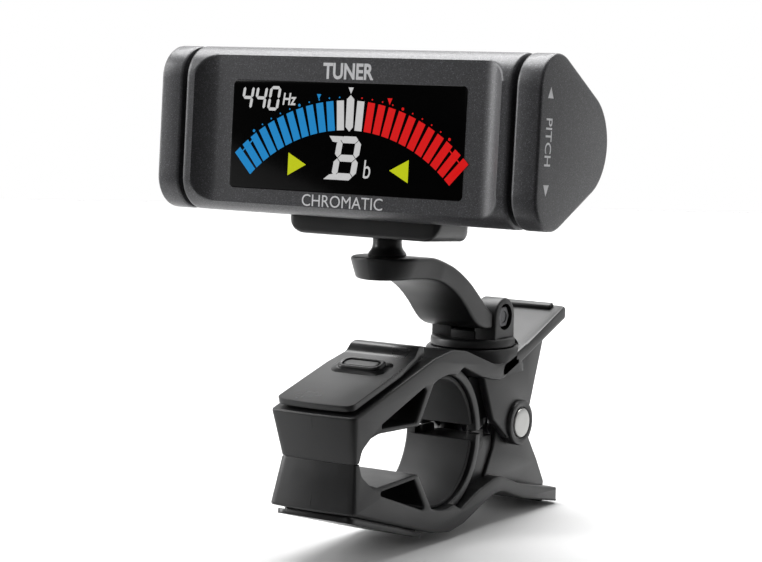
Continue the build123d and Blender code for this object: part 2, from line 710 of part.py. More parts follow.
with BuildPart() as ball_seat:
    with Locations((0, STUD_Y, BALL_Z)):
        Sphere(SEAT_OUTER_R)
        Sphere(SEAT_INNER_R, mode=Mode.SUBTRACT)
    with BuildSketch(ball_level(-LIP_DROP)):
        with Locations((0, BALL_LOCAL.Y)):
            Circle(6)
    extrude(amount=-6, mode=Mode.SUBTRACT)
    with BuildSketch(ball_level(2.4)):
        with Locations((0, BALL_LOCAL.Y)):
            Circle(6)
    extrude(amount=6, mode=Mode.SUBTRACT)
save(ball_seat, "ball_seat")

with BuildPart() as ball_housing:
    with BuildSketch(head_level(HOUSING_BOTTOM_V)) as plan:
        with Locations((0, HOUSING_MID_U)):
            Rectangle(HOUSING_LENGTH, HOUSING_DEPTH)
        fillet(plan.vertices().group_by(Axis.Y)[0], radius=0.8)
        fillet(plan.vertices().group_by(Axis.Y)[-1], radius=4.5)
    extrude(amount=HOUSING_DROP + 5.5)
    # Rounded ends, seen from the front.
    with BuildSketch(head_face(0)) as front_view:
        with Locations((0, HOUSING_BOTTOM_V + 6)):
            Rectangle(HOUSING_LENGTH, 12)
        fillet(front_view.vertices().group_by(Axis.Z)[0], radius=3.0)
    extrude(amount=-40, mode=Mode.INTERSECT)
    with BuildSketch(head_slice(-BODY_HALF_LENGTH)):
        head_outline(0)
    extrude(amount=2 * BODY_HALF_LENGTH, mode=Mode.SUBTRACT)
    # A narrow gap under the battery door.
    with BuildSketch(head_slice(-BODY_HALF_LENGTH)) as door_gap:
        head_outline(-DOOR_CLEARANCE)
        with Locations((DOOR_U - DEEP / 2 - DOOR_CLEARANCE, 0)):
            Rectangle(DEEP, 2 * DEEP, mode=Mode.SUBTRACT)
    extrude(door_gap.sketch, amount=2 * BODY_HALF_LENGTH, mode=Mode.SUBTRACT)
    with Locations((0, STUD_Y, BALL_Z)):
        Sphere(HOUSING_CAVITY_R, mode=Mode.SUBTRACT)
    with BuildSketch(ball_level(0)):
        with Locations((0, BALL_LOCAL.Y)):
            Circle(HOUSING_CAVITY_R)
    extrude(amount=8, mode=Mode.SUBTRACT)
    with BuildSketch(head_level(HOUSING_BOTTOM_V)):
        with Locations((0, BALL_LOCAL.Y)):
            Circle(MOUTH_R)
    extrude(amount=HOUSING_DROP, mode=Mode.SUBTRACT)
    # The mouth flares out to leave the tilted stem room.
    with BuildSketch(head_level(HOUSING_BOTTOM_V)):
        with Locations((0, BALL_LOCAL.Y)):
            Circle(MOUTH_R + MOUTH_FLARE * math.tan(math.radians(MOUTH_FLARE_ANGLE)))
    extrude(amount=MOUTH_FLARE, taper=MOUTH_FLARE_ANGLE, mode=Mode.SUBTRACT)
    with BuildSketch(head_level(HOUSING_BOTTOM_V)):
        with Locations((-HOUSING_SCREW_X, BALL_LOCAL.Y), (HOUSING_SCREW_X, BALL_LOCAL.Y)):
            Circle(1.05)
    extrude(amount=9, mode=Mode.SUBTRACT)
    with BuildSketch(head_level(HOUSING_BOTTOM_V)):
        with Locations((-HOUSING_SCREW_X, BALL_LOCAL.Y), (HOUSING_SCREW_X, BALL_LOCAL.Y)):
            Circle(1.95)
    extrude(amount=1.4, mode=Mode.SUBTRACT)
save(ball_housing, "ball_housing")

with BuildPart() as housing_screws:
    for x in (-HOUSING_SCREW_X, HOUSING_SCREW_X):
        with BuildSketch(head_level(HOUSING_BOTTOM_V + 0.3)):
            with Locations((x, BALL_LOCAL.Y)):
                Circle(1.85)
        extrude(amount=1.1)
        with BuildSketch(head_level(HOUSING_BOTTOM_V + 0.3)):
            with Locations((x, BALL_LOCAL.Y)):
                Circle(1.0)
        extrude(amount=9.4)
        with BuildSketch(head_level(HOUSING_BOTTOM_V + 0.3)):
            with Locations((x, BALL_LOCAL.Y)):
                Rectangle(2.2, 0.45)
                Rectangle(0.45, 2.2)
        extrude(amount=0.5, mode=Mode.SUBTRACT)
save(housing_screws, "housing_screws")

with BuildPart() as ball_retainer:
    with BuildSketch(ball_level(1.4)):
        with Locations((0, BALL_LOCAL.Y)):
            Circle(HOUSING_CAVITY_R - 0.05)
    extrude(amount=1.8)
    with Locations((0, STUD_Y, BALL_Z)):
        Sphere(HOUSING_CAVITY_R, mode=Mode.SUBTRACT)
save(ball_retainer, "ball_retainer")

# ------------------------------------------------------------------- head case
INNER_HALF_LENGTH = BODY_HALF_LENGTH - WALL
FRONT_WALL_U = POCKET_DEPTH + WALL
SCREW_X = 26.9


def body_block(inset, half_length):
    """Head section run along X inside the current part."""
    with BuildSketch(head_slice(-half_length)) as section:
        head_outline(inset)
    extrude(section.sketch, amount=2 * half_length)


with BuildPart() as head_core:
    body_block(WALL, INNER_HALF_LENGTH)
    with BuildSketch(head_face(FRONT_WALL_U)):
        Rectangle(2 * DEEP, DEEP)
    extrude(amount=DEEP, mode=Mode.SUBTRACT)

# Bores at the two ends for the shafts of the shuttle caps.
with BuildPart() as shaft_bores:
    for side in (-1, 1):
        with BuildSketch(head_slice(side * (SHAFT_END_X - 0.3))):
            with Locations((SHAFT_U, 0)):
                Circle(SHAFT_R + RUNNING_CLEARANCE)
        extrude(amount=side * (BODY_HALF_LENGTH - SHAFT_END_X + 0.3))

with BuildPart() as front_shell:
    body_block(0, BODY_HALF_LENGTH)
    with BuildSketch(head_face(PARTING_U)):
        Rectangle(2 * DEEP, DEEP)
    extrude(amount=-DEEP, mode=Mode.SUBTRACT)
    add(head_core.part, mode=Mode.SUBTRACT)
    # The scooped pocket round the display.
    with BuildSketch(head_level(-DEEP / 2)):
        flat = POCKET_HALF_LENGTH - POCKET_RAMP
        with BuildLine():
            Polyline((-POCKET_HALF_LENGTH, -2), (-POCKET_HALF_LENGTH, 0))
            TangentArc((-flat, POCKET_DEPTH), (-POCKET_HALF_LENGTH, 0), tangent=(-1, 0))
            Line((-flat, POCKET_DEPTH), (flat, POCKET_DEPTH))
            TangentArc((flat, POCKET_DEPTH), (POCKET_HALF_LENGTH, 0), tangent=(1, 0))
            Polyline((POCKET_HALF_LENGTH, 0), (POCKET_HALF_LENGTH, -2), (-POCKET_HALF_LENGTH, -2))
        make_face()
    extrude(amount=DEEP, mode=Mode.SUBTRACT)
    with BuildSketch(head_face(POCKET_DEPTH)):
        with Locations((0, LENS_V)):
            RectangleRounded(LENS_LENGTH + 0.2, LENS_HEIGHT + 0.2, 0.8)
    extrude(amount=-LENS_THICKNESS, mode=Mode.SUBTRACT)
    with BuildSketch(head_face(0)):
        with Locations((0, LENS_V)):
            Rectangle(LENS_LENGTH - 1.6, LENS_HEIGHT - 1.6)
    extrude(amount=-FRONT_WALL_U - 1, mode=Mode.SUBTRACT)
    # Screw posts at the two ends.
    with BuildSketch(head_face(FRONT_WALL_U - 0.2)):
        with Locations((-SCREW_X, 0), (SCREW_X, 0)):
            Circle(1.9)
    extrude(amount=-(PARTING_U - FRONT_WALL_U + 0.2))
    with BuildSketch(head_face(PARTING_U)):
        with Locations((-SCREW_X, 0), (SCREW_X, 0)):
            Circle(0.82)
    extrude(amount=4.5, mode=Mode.SUBTRACT)
    add(shaft_bores.part, mode=Mode.SUBTRACT)
save(front_shell, "front_shell")

PARTING_GAP = 0.1
CASE_SCREW_SEAT_U = PARTING_U + 9.7

with BuildPart() as rear_shell:
    body_block(0, BODY_HALF_LENGTH)
    with BuildSketch(head_face(PARTING_U + PARTING_GAP)):
        Rectangle(2 * DEEP, DEEP)
    extrude(amount=DEEP, mode=Mode.SUBTRACT)
    add(head_core.part, mode=Mode.SUBTRACT)
    with BuildSketch(head_face(DOOR_U)):
        Rectangle(2 * DOOR_HALF_LENGTH + 0.3, DEEP)
    extrude(amount=-DEEP, mode=Mode.SUBTRACT)
    # Posts for the case screws.
    with BuildSketch(head_face(PARTING_U + PARTING_GAP)):
        with Locations((-SCREW_X - 0.3, 0), (SCREW_X + 0.3, 0)):
            Rectangle(4.4, 5.4)
    extrude(amount=-12.4)
    with BuildSketch(head_face(PARTING_U)):
        with Locations((-SCREW_X, 0), (SCREW_X, 0)):
            Circle(1.05)
    extrude(amount=-DEEP, mode=Mode.SUBTRACT)
    with BuildSketch(head_face(CASE_SCREW_SEAT_U)):
        with Locations((-SCREW_X, 0), (SCREW_X, 0)):
            Circle(1.95)
    extrude(amount=-DEEP, mode=Mode.SUBTRACT)
    add(shaft_bores.part, mode=Mode.SUBTRACT)
    # Way through for the ball joint and the housing screws.
    with BuildSketch(ball_level(0)):
        with Locations((0, BALL_LOCAL.Y)):
            Circle(HOUSING_CAVITY_R + 0.1)
        with Locations((-HOUSING_SCREW_X, BALL_LOCAL.Y), (HOUSING_SCREW_X, BALL_LOCAL.Y)):
            Circle(1.02)
    extrude(amount=6.0, mode=Mode.SUBTRACT)
save(rear_shell, "rear_shell")

with BuildPart() as battery_door:
    body_block(0, DOOR_HALF_LENGTH)
    with BuildSketch(head_slice(-DOOR_HALF_LENGTH)):
        head_outline(WALL)
    extrude(amount=2 * DOOR_HALF_LENGTH, mode=Mode.SUBTRACT)
    with BuildSketch(head_face(DOOR_U + 0.15)):
        Rectangle(2 * DEEP, DEEP)
    extrude(amount=DEEP, mode=Mode.SUBTRACT)
save(battery_door, "battery_door")

with BuildPart() as case_screws:
    for x in (-SCREW_X, SCREW_X):
        with BuildSketch(head_face(CASE_SCREW_SEAT_U)):
            with Locations((x, 0)):
                Circle(1.85)
        extrude(amount=-1.2)
        with BuildSketch(head_face(CASE_SCREW_SEAT_U + 1.2)):
            with Locations((x, 0)):
                Circle(1.0)
        extrude(amount=CASE_SCREW_SEAT_U + 1.2 - PARTING_U - PARTING_GAP)
        with BuildSketch(head_face(PARTING_U + 0.2)):
            with Locations((x, 0)):
                Circle(0.8)
        extrude(amount=3.8)
        with BuildSketch(head_face(CASE_SCREW_SEAT_U + 1.2)):
            with Locations((x, 0)):
                Rectangle(2.3, 0.45)
                Rectangle(0.45, 2.3)
        extrude(amount=0.6, mode=Mode.SUBTRACT)
save(case_screws, "case_screws")

# ------------------------------------------------------------- shuttle switches
CAP_INNER_X = HEAD_HALF_LENGTH - CAP_LENGTH
CAP_WALL = 1.4


def make_shuttle(side):
    """Rocking end cap: a shallow cup with a shaft that runs into the casing."""
    with BuildPart() as shuttle:
        with BuildSketch(head_slice(side * CAP_INNER_X)):
            head_outline(0)
        extrude(amount=side * CAP_LENGTH)
        outer_edges = shuttle.edges().group_by(Axis.X)[-1 if side > 0 else 0]
        fillet(outer_edges, radius=0.45)
        with BuildSketch(head_slice(side * CAP_INNER_X)):
            head_outline(CAP_WALL)
        extrude(amount=side * (CAP_LENGTH - CAP_WALL), mode=Mode.SUBTRACT)
        with BuildSketch(head_slice(side * SHAFT_END_X)):
            with Locations((SHAFT_U, 0)):
                Circle(SHAFT_R)
        extrude(amount=side * (HEAD_HALF_LENGTH - CAP_WALL - SHAFT_END_X + 0.2))
    return shuttle


left_shuttle = make_shuttle(-1)
save(left_shuttle, "left_shuttle")
right_shuttle = make_shuttle(1)
save(right_shuttle, "right_shuttle")

# ------------------------------------------------------------- inside the head
with BuildPart() as lens:
    with BuildSketch(head_face(POCKET_DEPTH + 0.05)):
        with Locations((0, LENS_V)):
            RectangleRounded(LENS_LENGTH, LENS_HEIGHT, 0.7)
    extrude(amount=-(LENS_THICKNESS - 0.1))
save(lens, "lens")

DISPLAY_U = FRONT_WALL_U + 0.1
BOARD_U = 6.4

with BuildPart() as display_module:
    with BuildSketch(head_face(DISPLAY_U)):
        with Locations((0, LENS_V)):
            Rectangle(LENS_LENGTH + 1.0, LENS_HEIGHT + 1.0)
    extrude(amount=-2.6)
save(display_module, "display_module")

with BuildPart() as circuit_board:
    with BuildSketch(head_face(BOARD_U)):
        RectangleRounded(49.6, 19.0, 1.0)
    extrude(amount=-1.0)
save(circuit_board, "circuit_board")


def make_switch(side):
    """Small detector switch on the board, with its plunger towards the cap."""
    with BuildPart() as switch:
        with BuildSketch(head_face(BOARD_U + 1.0)):
            with Locations((side * 22.6, 6.6)):
                Rectangle(3.6, 3.2)
        extrude(amount=-1.9)
        with BuildSketch(head_slice(side * 24.4)):
            with Locations((BOARD_U + 1.9, 6.6)):
                Rectangle(0.8, 1.2)
        extrude(amount=side * 1.4)
    return switch


left_switch = make_switch(-1)
save(left_switch, "left_switch")
right_switch = make_switch(1)
save(right_switch, "right_switch")

with BuildPart() as piezo_sensor:
    with BuildSketch(head_face(BOARD_U + 1.1)):
        with Locations((0, -6.4)):
            Rectangle(9.0, 3.4)
    extrude(amount=-0.9)
save(piezo_sensor, "piezo_sensor")

BATTERY_START_X = -21.2
NUB_LENGTH = 0.9

with BuildPart() as battery:
    with BuildSketch(head_slice(BATTERY_START_X)):
        with Locations((BATTERY_U, 0)):
            Circle(BATTERY_R)
    extrude(amount=BATTERY_LENGTH - NUB_LENGTH)
    with BuildSketch(head_slice(BATTERY_START_X)):
        with Locations((BATTERY_U, 0)):
            Circle(1.9)
    extrude(amount=BATTERY_LENGTH)
save(battery, "battery")

with BuildPart() as battery_spring:
    with BuildSketch(head_slice(BATTERY_START_X - 2.4)):
        with Locations((BATTERY_U, 0)):
            Rectangle(8.0, 8.0)
    extrude(amount=0.4)
    with BuildSketch(head_slice(BATTERY_START_X - 2.0)):
        with Locations((BATTERY_U, 0)):
            Circle(3.4)
            Circle(2.8, mode=Mode.SUBTRACT)
    extrude(amount=1.9, taper=25)
save(battery_spring, "battery_spring")

with BuildPart() as battery_plate:
    with BuildSketch(head_slice(BATTERY_START_X + BATTERY_LENGTH + 0.05)):
        with Locations((BATTERY_U, 0)):
            Rectangle(8.0, 8.0)
    extrude(amount=0.4)
save(battery_plate, "battery_plate")
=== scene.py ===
import math
import bmesh
import bpy
from mathutils import Matrix, Vector


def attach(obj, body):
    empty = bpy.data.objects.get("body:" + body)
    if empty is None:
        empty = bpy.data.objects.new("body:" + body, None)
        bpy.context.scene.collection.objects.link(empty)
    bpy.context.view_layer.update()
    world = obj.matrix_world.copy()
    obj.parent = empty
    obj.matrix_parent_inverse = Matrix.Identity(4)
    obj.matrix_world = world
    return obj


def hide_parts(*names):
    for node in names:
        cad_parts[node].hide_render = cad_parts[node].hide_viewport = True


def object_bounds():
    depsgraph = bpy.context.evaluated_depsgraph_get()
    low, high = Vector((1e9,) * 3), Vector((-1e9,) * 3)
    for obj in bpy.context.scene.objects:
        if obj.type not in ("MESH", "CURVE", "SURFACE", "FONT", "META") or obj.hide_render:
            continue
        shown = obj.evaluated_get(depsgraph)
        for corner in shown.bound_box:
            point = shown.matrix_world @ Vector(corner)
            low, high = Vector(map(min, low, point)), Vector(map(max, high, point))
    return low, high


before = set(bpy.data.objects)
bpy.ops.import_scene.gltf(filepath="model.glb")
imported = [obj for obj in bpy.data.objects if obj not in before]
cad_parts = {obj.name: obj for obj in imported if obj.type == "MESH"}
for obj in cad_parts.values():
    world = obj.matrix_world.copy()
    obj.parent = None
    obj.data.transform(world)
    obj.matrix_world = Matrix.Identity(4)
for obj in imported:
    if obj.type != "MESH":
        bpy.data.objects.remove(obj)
start_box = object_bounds()

# ---------------------------------------------------------------- upper jaw
# The upper lever of the clip is one moulding in black glass-filled nylon:
# solid nose, truss, C-shaped wall, two ears and a flat handle. Every edge of
# the tool is broken, so each edge carries a thin line of light.

MM = 0.001


def linear(colour):
    """Turn an sRGB hex colour into linear RGBA."""
    parts = [int(colour[i:i + 2], 16) / 255 for i in (1, 3, 5)]
    return tuple(c / 12.92 if c <= 0.04045 else ((c + 0.055) / 1.055) ** 2.4 for c in parts) + (1.0,)


def add_node(tree, kind, sockets=None, **settings):
    """Add a node. A value in sockets is a plain value, or an output to link from."""
    made = tree.nodes.new(kind)
    for name, value in settings.items():
        setattr(made, name, value)
    for name, value in (sockets or {}).items():
        if isinstance(value, bpy.types.NodeSocket):
            tree.links.new(value, made.inputs[name])
        else:
            made.inputs[name].default_value = value
    return made


def start_material(name, sockets):
    """New material with plain values on its shader; returns it, its tree, shader and object coordinates."""
    made = bpy.data.materials.new(name)
    made.use_nodes = True
    tree = made.node_tree
    shader = tree.nodes["Principled BSDF"]
    for socket, value in sockets.items():
        shader.inputs[socket].default_value = value
    where = add_node(tree, "ShaderNodeTexCoord").outputs["Object"]
    return made, tree, shader, where


def add_bump(tree, shader, heights, strength, depth_mm):
    """Feed a height pattern into the shader's normal."""
    bump = add_node(tree, "ShaderNodeBump", {
        "Strength": strength, "Distance": depth_mm * MM, "Height": heights})
    tree.links.new(bump.outputs["Normal"], shader.inputs["Normal"])


def blend_tones(tree, factor, first, second):
    """Colour that wanders between two tones with a pattern."""
    tone = add_node(tree, "ShaderNodeMix", {"Factor": factor}, data_type="RGBA")
    tone.inputs["A"].default_value = linear(first)
    tone.inputs["B"].default_value = linear(second)
    return tone.outputs["Result"]


def moulded_plastic(name, colour, light_colour, roughness, grain_mm, grain_strength):
    """Spark-eroded plastic: fine even grain, slightly uneven sheen."""
    made, tree, shader, where = start_material(name, {
        "Roughness": roughness, "IOR": 1.5, "Specular IOR Level": 0.42})
    grain = add_node(tree, "ShaderNodeTexNoise", {
        "Vector": where, "Scale": 1 / (grain_mm * MM), "Detail": 3.0})
    cloud = add_node(tree, "ShaderNodeTexNoise", {"Vector": where, "Scale": 1 / (9 * MM), "Detail": 2.0})
    tone = blend_tones(tree, cloud.outputs["Fac"], colour, light_colour)
    tree.links.new(tone, shader.inputs["Base Color"])
    sheen = add_node(tree, "ShaderNodeMapRange", {
        "Value": cloud.outputs["Fac"], "From Min": 0.3, "From Max": 0.7, "To Min": roughness - 0.05,
        "To Max": roughness + 0.05})
    tree.links.new(sheen.outputs["Result"], shader.inputs["Roughness"])
    add_bump(tree, shader, grain.outputs["Fac"], grain_strength, 0.03)
    return made


# Glass-filled nylon: charcoal black, soft wide highlights, fine grain.
NYLON = moulded_plastic("black_nylon", "#0D0D0E", "#131314", 0.4, 0.16, 0.35)


def rounded(corners, steps=6):
    """Closed outline through (y, z, radius) corners, each rounded by an arc."""
    points = []
    count = len(corners)
    for i, corner in enumerate(corners):
        here = Vector(corner[:2])
        radius = corner[2] if len(corner) > 2 else 0
        if radius == 0:
            points.append(tuple(here))
            continue
        to_last = (Vector(corners[i - 1][:2]) - here).normalized()
        to_next = (Vector(corners[(i + 1) % count][:2]) - here).normalized()
        half_angle = to_last.angle(to_next) / 2
        reach = radius / math.tan(half_angle)
        centre = here + (to_last + to_next).normalized() * (radius / math.sin(half_angle))
        start = here + to_last * reach - centre
        end = here + to_next * reach - centre
        sweep = (math.atan2(end.y, end.x) - math.atan2(start.y, start.x) + math.pi) % (2 * math.pi) - math.pi
        turns = max(2, int(steps * abs(sweep) / 1.2) + 1)
        for k in range(turns + 1):
            angle = math.atan2(start.y, start.x) + sweep * k / turns
            points.append((centre.x + radius * math.cos(angle), centre.y + radius * math.sin(angle)))
    return points


def arc(centre, radius, start, end, steps=24):
    """Points on an arc; angles in degrees."""
    angles = [math.radians(start + (end - start) * k / steps) for k in range(steps + 1)]
    return [(centre[0] + radius * math.cos(a), centre[1] + radius * math.sin(a)) for a in angles]


def link_mesh(name, mesh):
    """Put a mesh into the scene as an object, in the mesh's own units."""
    made = bpy.data.objects.new(name, mesh)
    bpy.context.collection.objects.link(made)
    return made


SIDE = Matrix(((0, 0, 1, 0), (1, 0, 0, 0), (0, 1, 0, 0), (0, 0, 0, 1)))


def baked(holder):
    """Plain mesh of an object as it looks with its modifiers."""
    return bpy.data.meshes.new_from_object(holder.evaluated_get(bpy.context.evaluated_depsgraph_get()))


def plate(name, outlines, low, high, edge, place=SIDE):
    """Slab with the given outlines (holes included) and rounded edges, in mm.
    Its outline lies in place's first two axes, its thickness along the third."""
    curve = bpy.data.curves.new(name, "CURVE")
    curve.dimensions = "2D"
    curve.fill_mode = "BOTH"
    curve.extrude = (high - low) / 2 - edge
    curve.bevel_depth = edge
    curve.bevel_resolution = 2
    curve.offset = -edge
    for outline in outlines:
        line = curve.splines.new("POLY")
        line.points.add(len(outline) - 1)
        for point, spot in zip(line.points, outline):
            point.co = (spot[0], spot[1], 0, 1)
        line.use_cyclic_u = True
    holder = link_mesh(name + "_curve", curve)
    mesh = baked(holder)
    bpy.data.objects.remove(holder)
    bpy.data.curves.remove(curve)
    mesh.transform(place @ Matrix.Translation((0, 0, (low + high) / 2)))
    mesh.name = name
    made = link_mesh(name, mesh)
    clean(made, 0.002)
    return made


def clean(piece, distance=0.001):
    """Merge doubles and turn all faces outwards."""
    shape = bmesh.new()
    shape.from_mesh(piece.data)
    bmesh.ops.remove_doubles(shape, verts=shape.verts, dist=distance)
    bmesh.ops.recalc_face_normals(shape, faces=shape.faces)
    shape.to_mesh(piece.data)
    shape.free()


def slice_across(piece, axis, stations):
    """Cut extra edge loops across a piece, so that it can be bent afterwards."""
    shape = bmesh.new()
    shape.from_mesh(piece.data)
    normal = Vector([1 if i == axis else 0 for i in range(3)])
    for station in stations:
        everything = list(shape.verts) + list(shape.edges) + list(shape.faces)
        bmesh.ops.bisect_plane(shape, geom=everything, plane_co=normal * station, plane_no=normal,
                               dist=0.001)
    shape.to_mesh(piece.data)
    shape.free()


def reshape(piece, move):
    """Move every point of a piece by a function of its place."""
    for point in piece.data.vertices:
        point.co = move(point.co.copy())
    piece.data.update()


def turn_over(piece):
    """Mirror a piece of the upper lever into its place on the lower one."""
    piece.data.transform(Matrix.Scale(-1, 4, (0, 0, 1)))
    piece.data.flip_normals()


def cut(piece, cutter):
    """Take one closed piece out of another."""
    modifier = piece.modifiers.new("cut", "BOOLEAN")
    modifier.operation = "DIFFERENCE"
    modifier.solver = "EXACT"
    modifier.object = cutter
    mesh = baked(piece)
    piece.modifiers.remove(modifier)
    old = piece.data
    piece.data = mesh
    bpy.data.meshes.remove(old)
    bpy.data.objects.remove(cutter)


def bevel(piece, width, segments=2, angle=35):
    """Round the sharp edges of a closed piece."""
    modifier = piece.modifiers.new("edges", "BEVEL")
    modifier.width = width
    modifier.segments = segments
    modifier.limit_method = "ANGLE"
    modifier.angle_limit = math.radians(angle)
    modifier.use_clamp_overlap = True
    mesh = baked(piece)
    piece.modifiers.remove(modifier)
    old = piece.data
    piece.data = mesh
    bpy.data.meshes.remove(old)


def join(name, pieces):
    """Put several meshes into one piece."""
    shape = bmesh.new()
    for piece in pieces:
        shape.from_mesh(piece.data)
        old = piece.data
        bpy.data.objects.remove(piece)
        bpy.data.meshes.remove(old)
    mesh = bpy.data.meshes.new(name)
    shape.to_mesh(mesh)
    shape.free()
    return link_mesh(name, mesh)


def finish(piece, material, body, nodes, smooth_angle=38):
    """Scale to metres, shade, paint and hand the piece over to its body."""
    piece.data.transform(Matrix.Scale(MM, 4))
    piece.data.materials.clear()
    piece.data.materials.append(material)
    for face in piece.data.polygons:
        face.use_smooth = True
        face.material_index = 0
    piece.data.set_sharp_from_angle(angle=math.radians(smooth_angle))
    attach(piece, body)
    if nodes:
        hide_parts(*nodes)


def lathe(name, profile, base, axis="Z", steps=64):
    """Closed turned shape from (radius, height) points about an axis through base."""
    shape = bmesh.new()
    rings = []
    for radius, height in profile:
        ring = []
        for k in range(steps):
            angle = 2 * math.pi * k / steps
            ring.append(shape.verts.new((radius * math.cos(angle), radius * math.sin(angle), height)))
        rings.append(ring)
    for low, high in zip(rings, rings[1:]):
        for k in range(steps):
            shape.faces.new((low[k], low[(k + 1) % steps], high[(k + 1) % steps], high[k]))
    shape.faces.new(rings[0][::-1])
    shape.faces.new(rings[-1])
    bmesh.ops.remove_doubles(shape, verts=shape.verts, dist=0.0005)
    bmesh.ops.recalc_face_normals(shape, faces=shape.faces)
    mesh = bpy.data.meshes.new(name)
    shape.to_mesh(mesh)
    shape.free()
    turn = Matrix.Identity(4) if axis == "Z" else Matrix.Rotation(math.radians(90), 4, "Y")
    mesh.transform(Matrix.Translation(base) @ turn)
    return link_mesh(name, mesh)


JAW_HALF = 8.2
NOSE_Y = -28.35
NOSE_Z = 7.7
RING_R = 11.25
PIVOT_Y = 24.9
HANDLE_Y = 26.3
HANDLE_Z = 13.8
STRIP = 2.8
JAW_EDGE = 0.35
NOSE_TAPER = 0.13
TAPER_Y = -20
BOW_Y = -19
NOSE_BOW = 0.55
NOSE_CORNER = 1.0
HANDLE_BEND_Y = 38.5
HANDLE_CORNER = 2.2
WALL_R = 12.75
WALL_HALF = 7.0
WEB_HALF = 5.4
CHEEK = 1.0
BOSS_R = 4.0
EAR_EDGE = 0.3
WINDOW = rounded([(-21.6, 5.2, 0.3), (-6.3, 10.45, 0.45), (-10.0, 4.7, 0.5)])


def jaw_side(tip, thickness):
    """Side view of nose, truss, strip and handle, drawn for the upper jaw."""
    front = [(-20.9, 4.3, 1.4), (-22.8, 3.7, 0.8), (-24.7, 2.1, 1.2), (-25.1, 0.03), (-26.2, 0.03),
             (NOSE_Y, NOSE_Z, 0.4), (-4.0, 14.6, 3.0), (1.4, 15.4, 5.0), (6.0, 14.7, 4.0),
             (17.4, 10.75, 9.0), (HANDLE_Y, HANDLE_Z, 9.0), (tip[0], tip[1], 0.9)]
    rise = math.atan2(tip[1] - HANDLE_Z, tip[0] - HANDLE_Y)
    under = thickness * math.cos(rise)
    rear = [(tip[0] - 0.2, tip[1] - under + 0.1, 0.6),
            (25.0, HANDLE_Z - under - 0.2, 6.0), (17.4, 8.2, 6.0), (11.0, 9.7, 3.0), (5.0, 12.0, 1.0)]
    opening = arc((0, 0), RING_R, 76, 114, 12)
    rib = [(-8.9, 3.95, 0.5)]
    return rounded(front + rear + opening + rib)


def bend_nose(bow, corner):
    """Move for a jaw: bowed front, rounded corners in plan, narrower towards the contact face."""
    def move(spot):
        if spot.y < TAPER_Y:
            low_share = max(0.0, 1 - spot.z / NOSE_Z)
            spot.x *= 1 - NOSE_TAPER * low_share * min(1.0, (TAPER_Y - spot.y) / 3)
        if spot.y < BOW_Y:
            weight = min(1.0, (BOW_Y - spot.y) / 4)
            inside = max(0.0, abs(spot.x) - (JAW_HALF - corner))
            inside = min(inside, corner)
            shift = bow * (spot.x / JAW_HALF) ** 2 + corner - math.sqrt(corner ** 2 - inside ** 2)
            spot.y += shift * weight
        if spot.y > HANDLE_BEND_Y:
            inside = min(max(0.0, abs(spot.x) - (JAW_HALF - HANDLE_CORNER)), HANDLE_CORNER)
            round_off = HANDLE_CORNER - math.sqrt(HANDLE_CORNER ** 2 - inside ** 2)
            spot.y -= round_off * min(1.0, (spot.y - HANDLE_BEND_Y) / 1.5)
        return spot
    return move


BEND_STATIONS = (-8.15, -8.0, -7.7, -7.3, -6.8, -6.2, -5.2, -4, -2, 0, 2, 4, 5.2, 6.2, 6.8, 7.3, 7.7, 8.0,
                 8.15)


def jaw_body(name, tip, ear_x, ear_corners):
    """Nose, truss, strip, C wall and ears of one jaw, as for the upper one."""
    main = plate(name + "_main", [jaw_side(tip, STRIP), WINDOW], -JAW_HALF, JAW_HALF, JAW_EDGE)
    slice_across(main, 0, BEND_STATIONS)
    reshape(main, bend_nose(NOSE_BOW, NOSE_CORNER))
    wall = arc((0, 0), RING_R, 1.5, 80, 30) + arc((0, 0), WALL_R, 78, 1.3, 30)
    notch = rounded([(9.0, -2.0), (15.0, -2.0), (15.0, 1.4, 0.3), (9.0, 1.4)])
    web = rounded([(11.2, 9.4), (12.2, 4.4), (12.4, 1.5), (19.3, 1.5, 0.5), (19.5, 5.0, 1.0), (20.0, 9.3)])
    cheek = rounded([(12.4, 0.08), (16.4, 0.08, 0.4), (16.4, 4.0), (12.4, 4.0)])
    wall_plate = plate(name + "_wall", [wall], -WALL_HALF, WALL_HALF, 0.22)
    parts = [main, wall_plate, plate(name + "_web", [web], -WEB_HALF, WEB_HALF, 0.2)]
    for low in (-WEB_HALF, WEB_HALF - CHEEK):
        parts.append(plate(name + "_cheek", [cheek], low, low + CHEEK, 0.2))
    cut(wall_plate, plate("notch", [notch], 0.1 - WEB_HALF, WEB_HALF - 0.1, 0.0))
    # A fine seam down the middle of the nose, left by the tool's two halves.
    seam = [(NOSE_Y + 0.16, NOSE_Z - 0.7), (-26.24, 0.4), (-25.9, 0.4), (NOSE_Y + 0.5, NOSE_Z - 0.7)]
    parts.append(plate(name + "_seam", [seam], -0.11, 0.11, 0.0))
    outline = rounded(ear_corners)
    for side in (-1, 1):
        low, high = sorted((side * ear_x[0], side * ear_x[1]))
        parts.append(plate(name + "_ear", [outline], low, high, EAR_EDGE))
        parts.append(plate(name + "_boss", [arc((PIVOT_Y, 0), BOSS_R, 0, 354, 59)], low, high, EAR_EDGE))
    rib_outline = rounded([(-0.8, -0.5), (-0.8, 0.75, 0.45), (0.8, 0.75, 0.45), (0.8, -0.5)])
    rib = plate(name + "_rib", [rib_outline], -5.6, 5.6, 0.3)
    slope = math.atan2(tip[1] - HANDLE_Z, tip[0] - HANDLE_Y)
    rib.data.transform(Matrix.Translation((0, tip[0] - 2.1, tip[1] - 0.75)) @ Matrix.Rotation(slope, 4, "X"))
    parts.append(rib)
    return parts


SWIVEL_Y = 21.3
SEAT_Z = 13.5

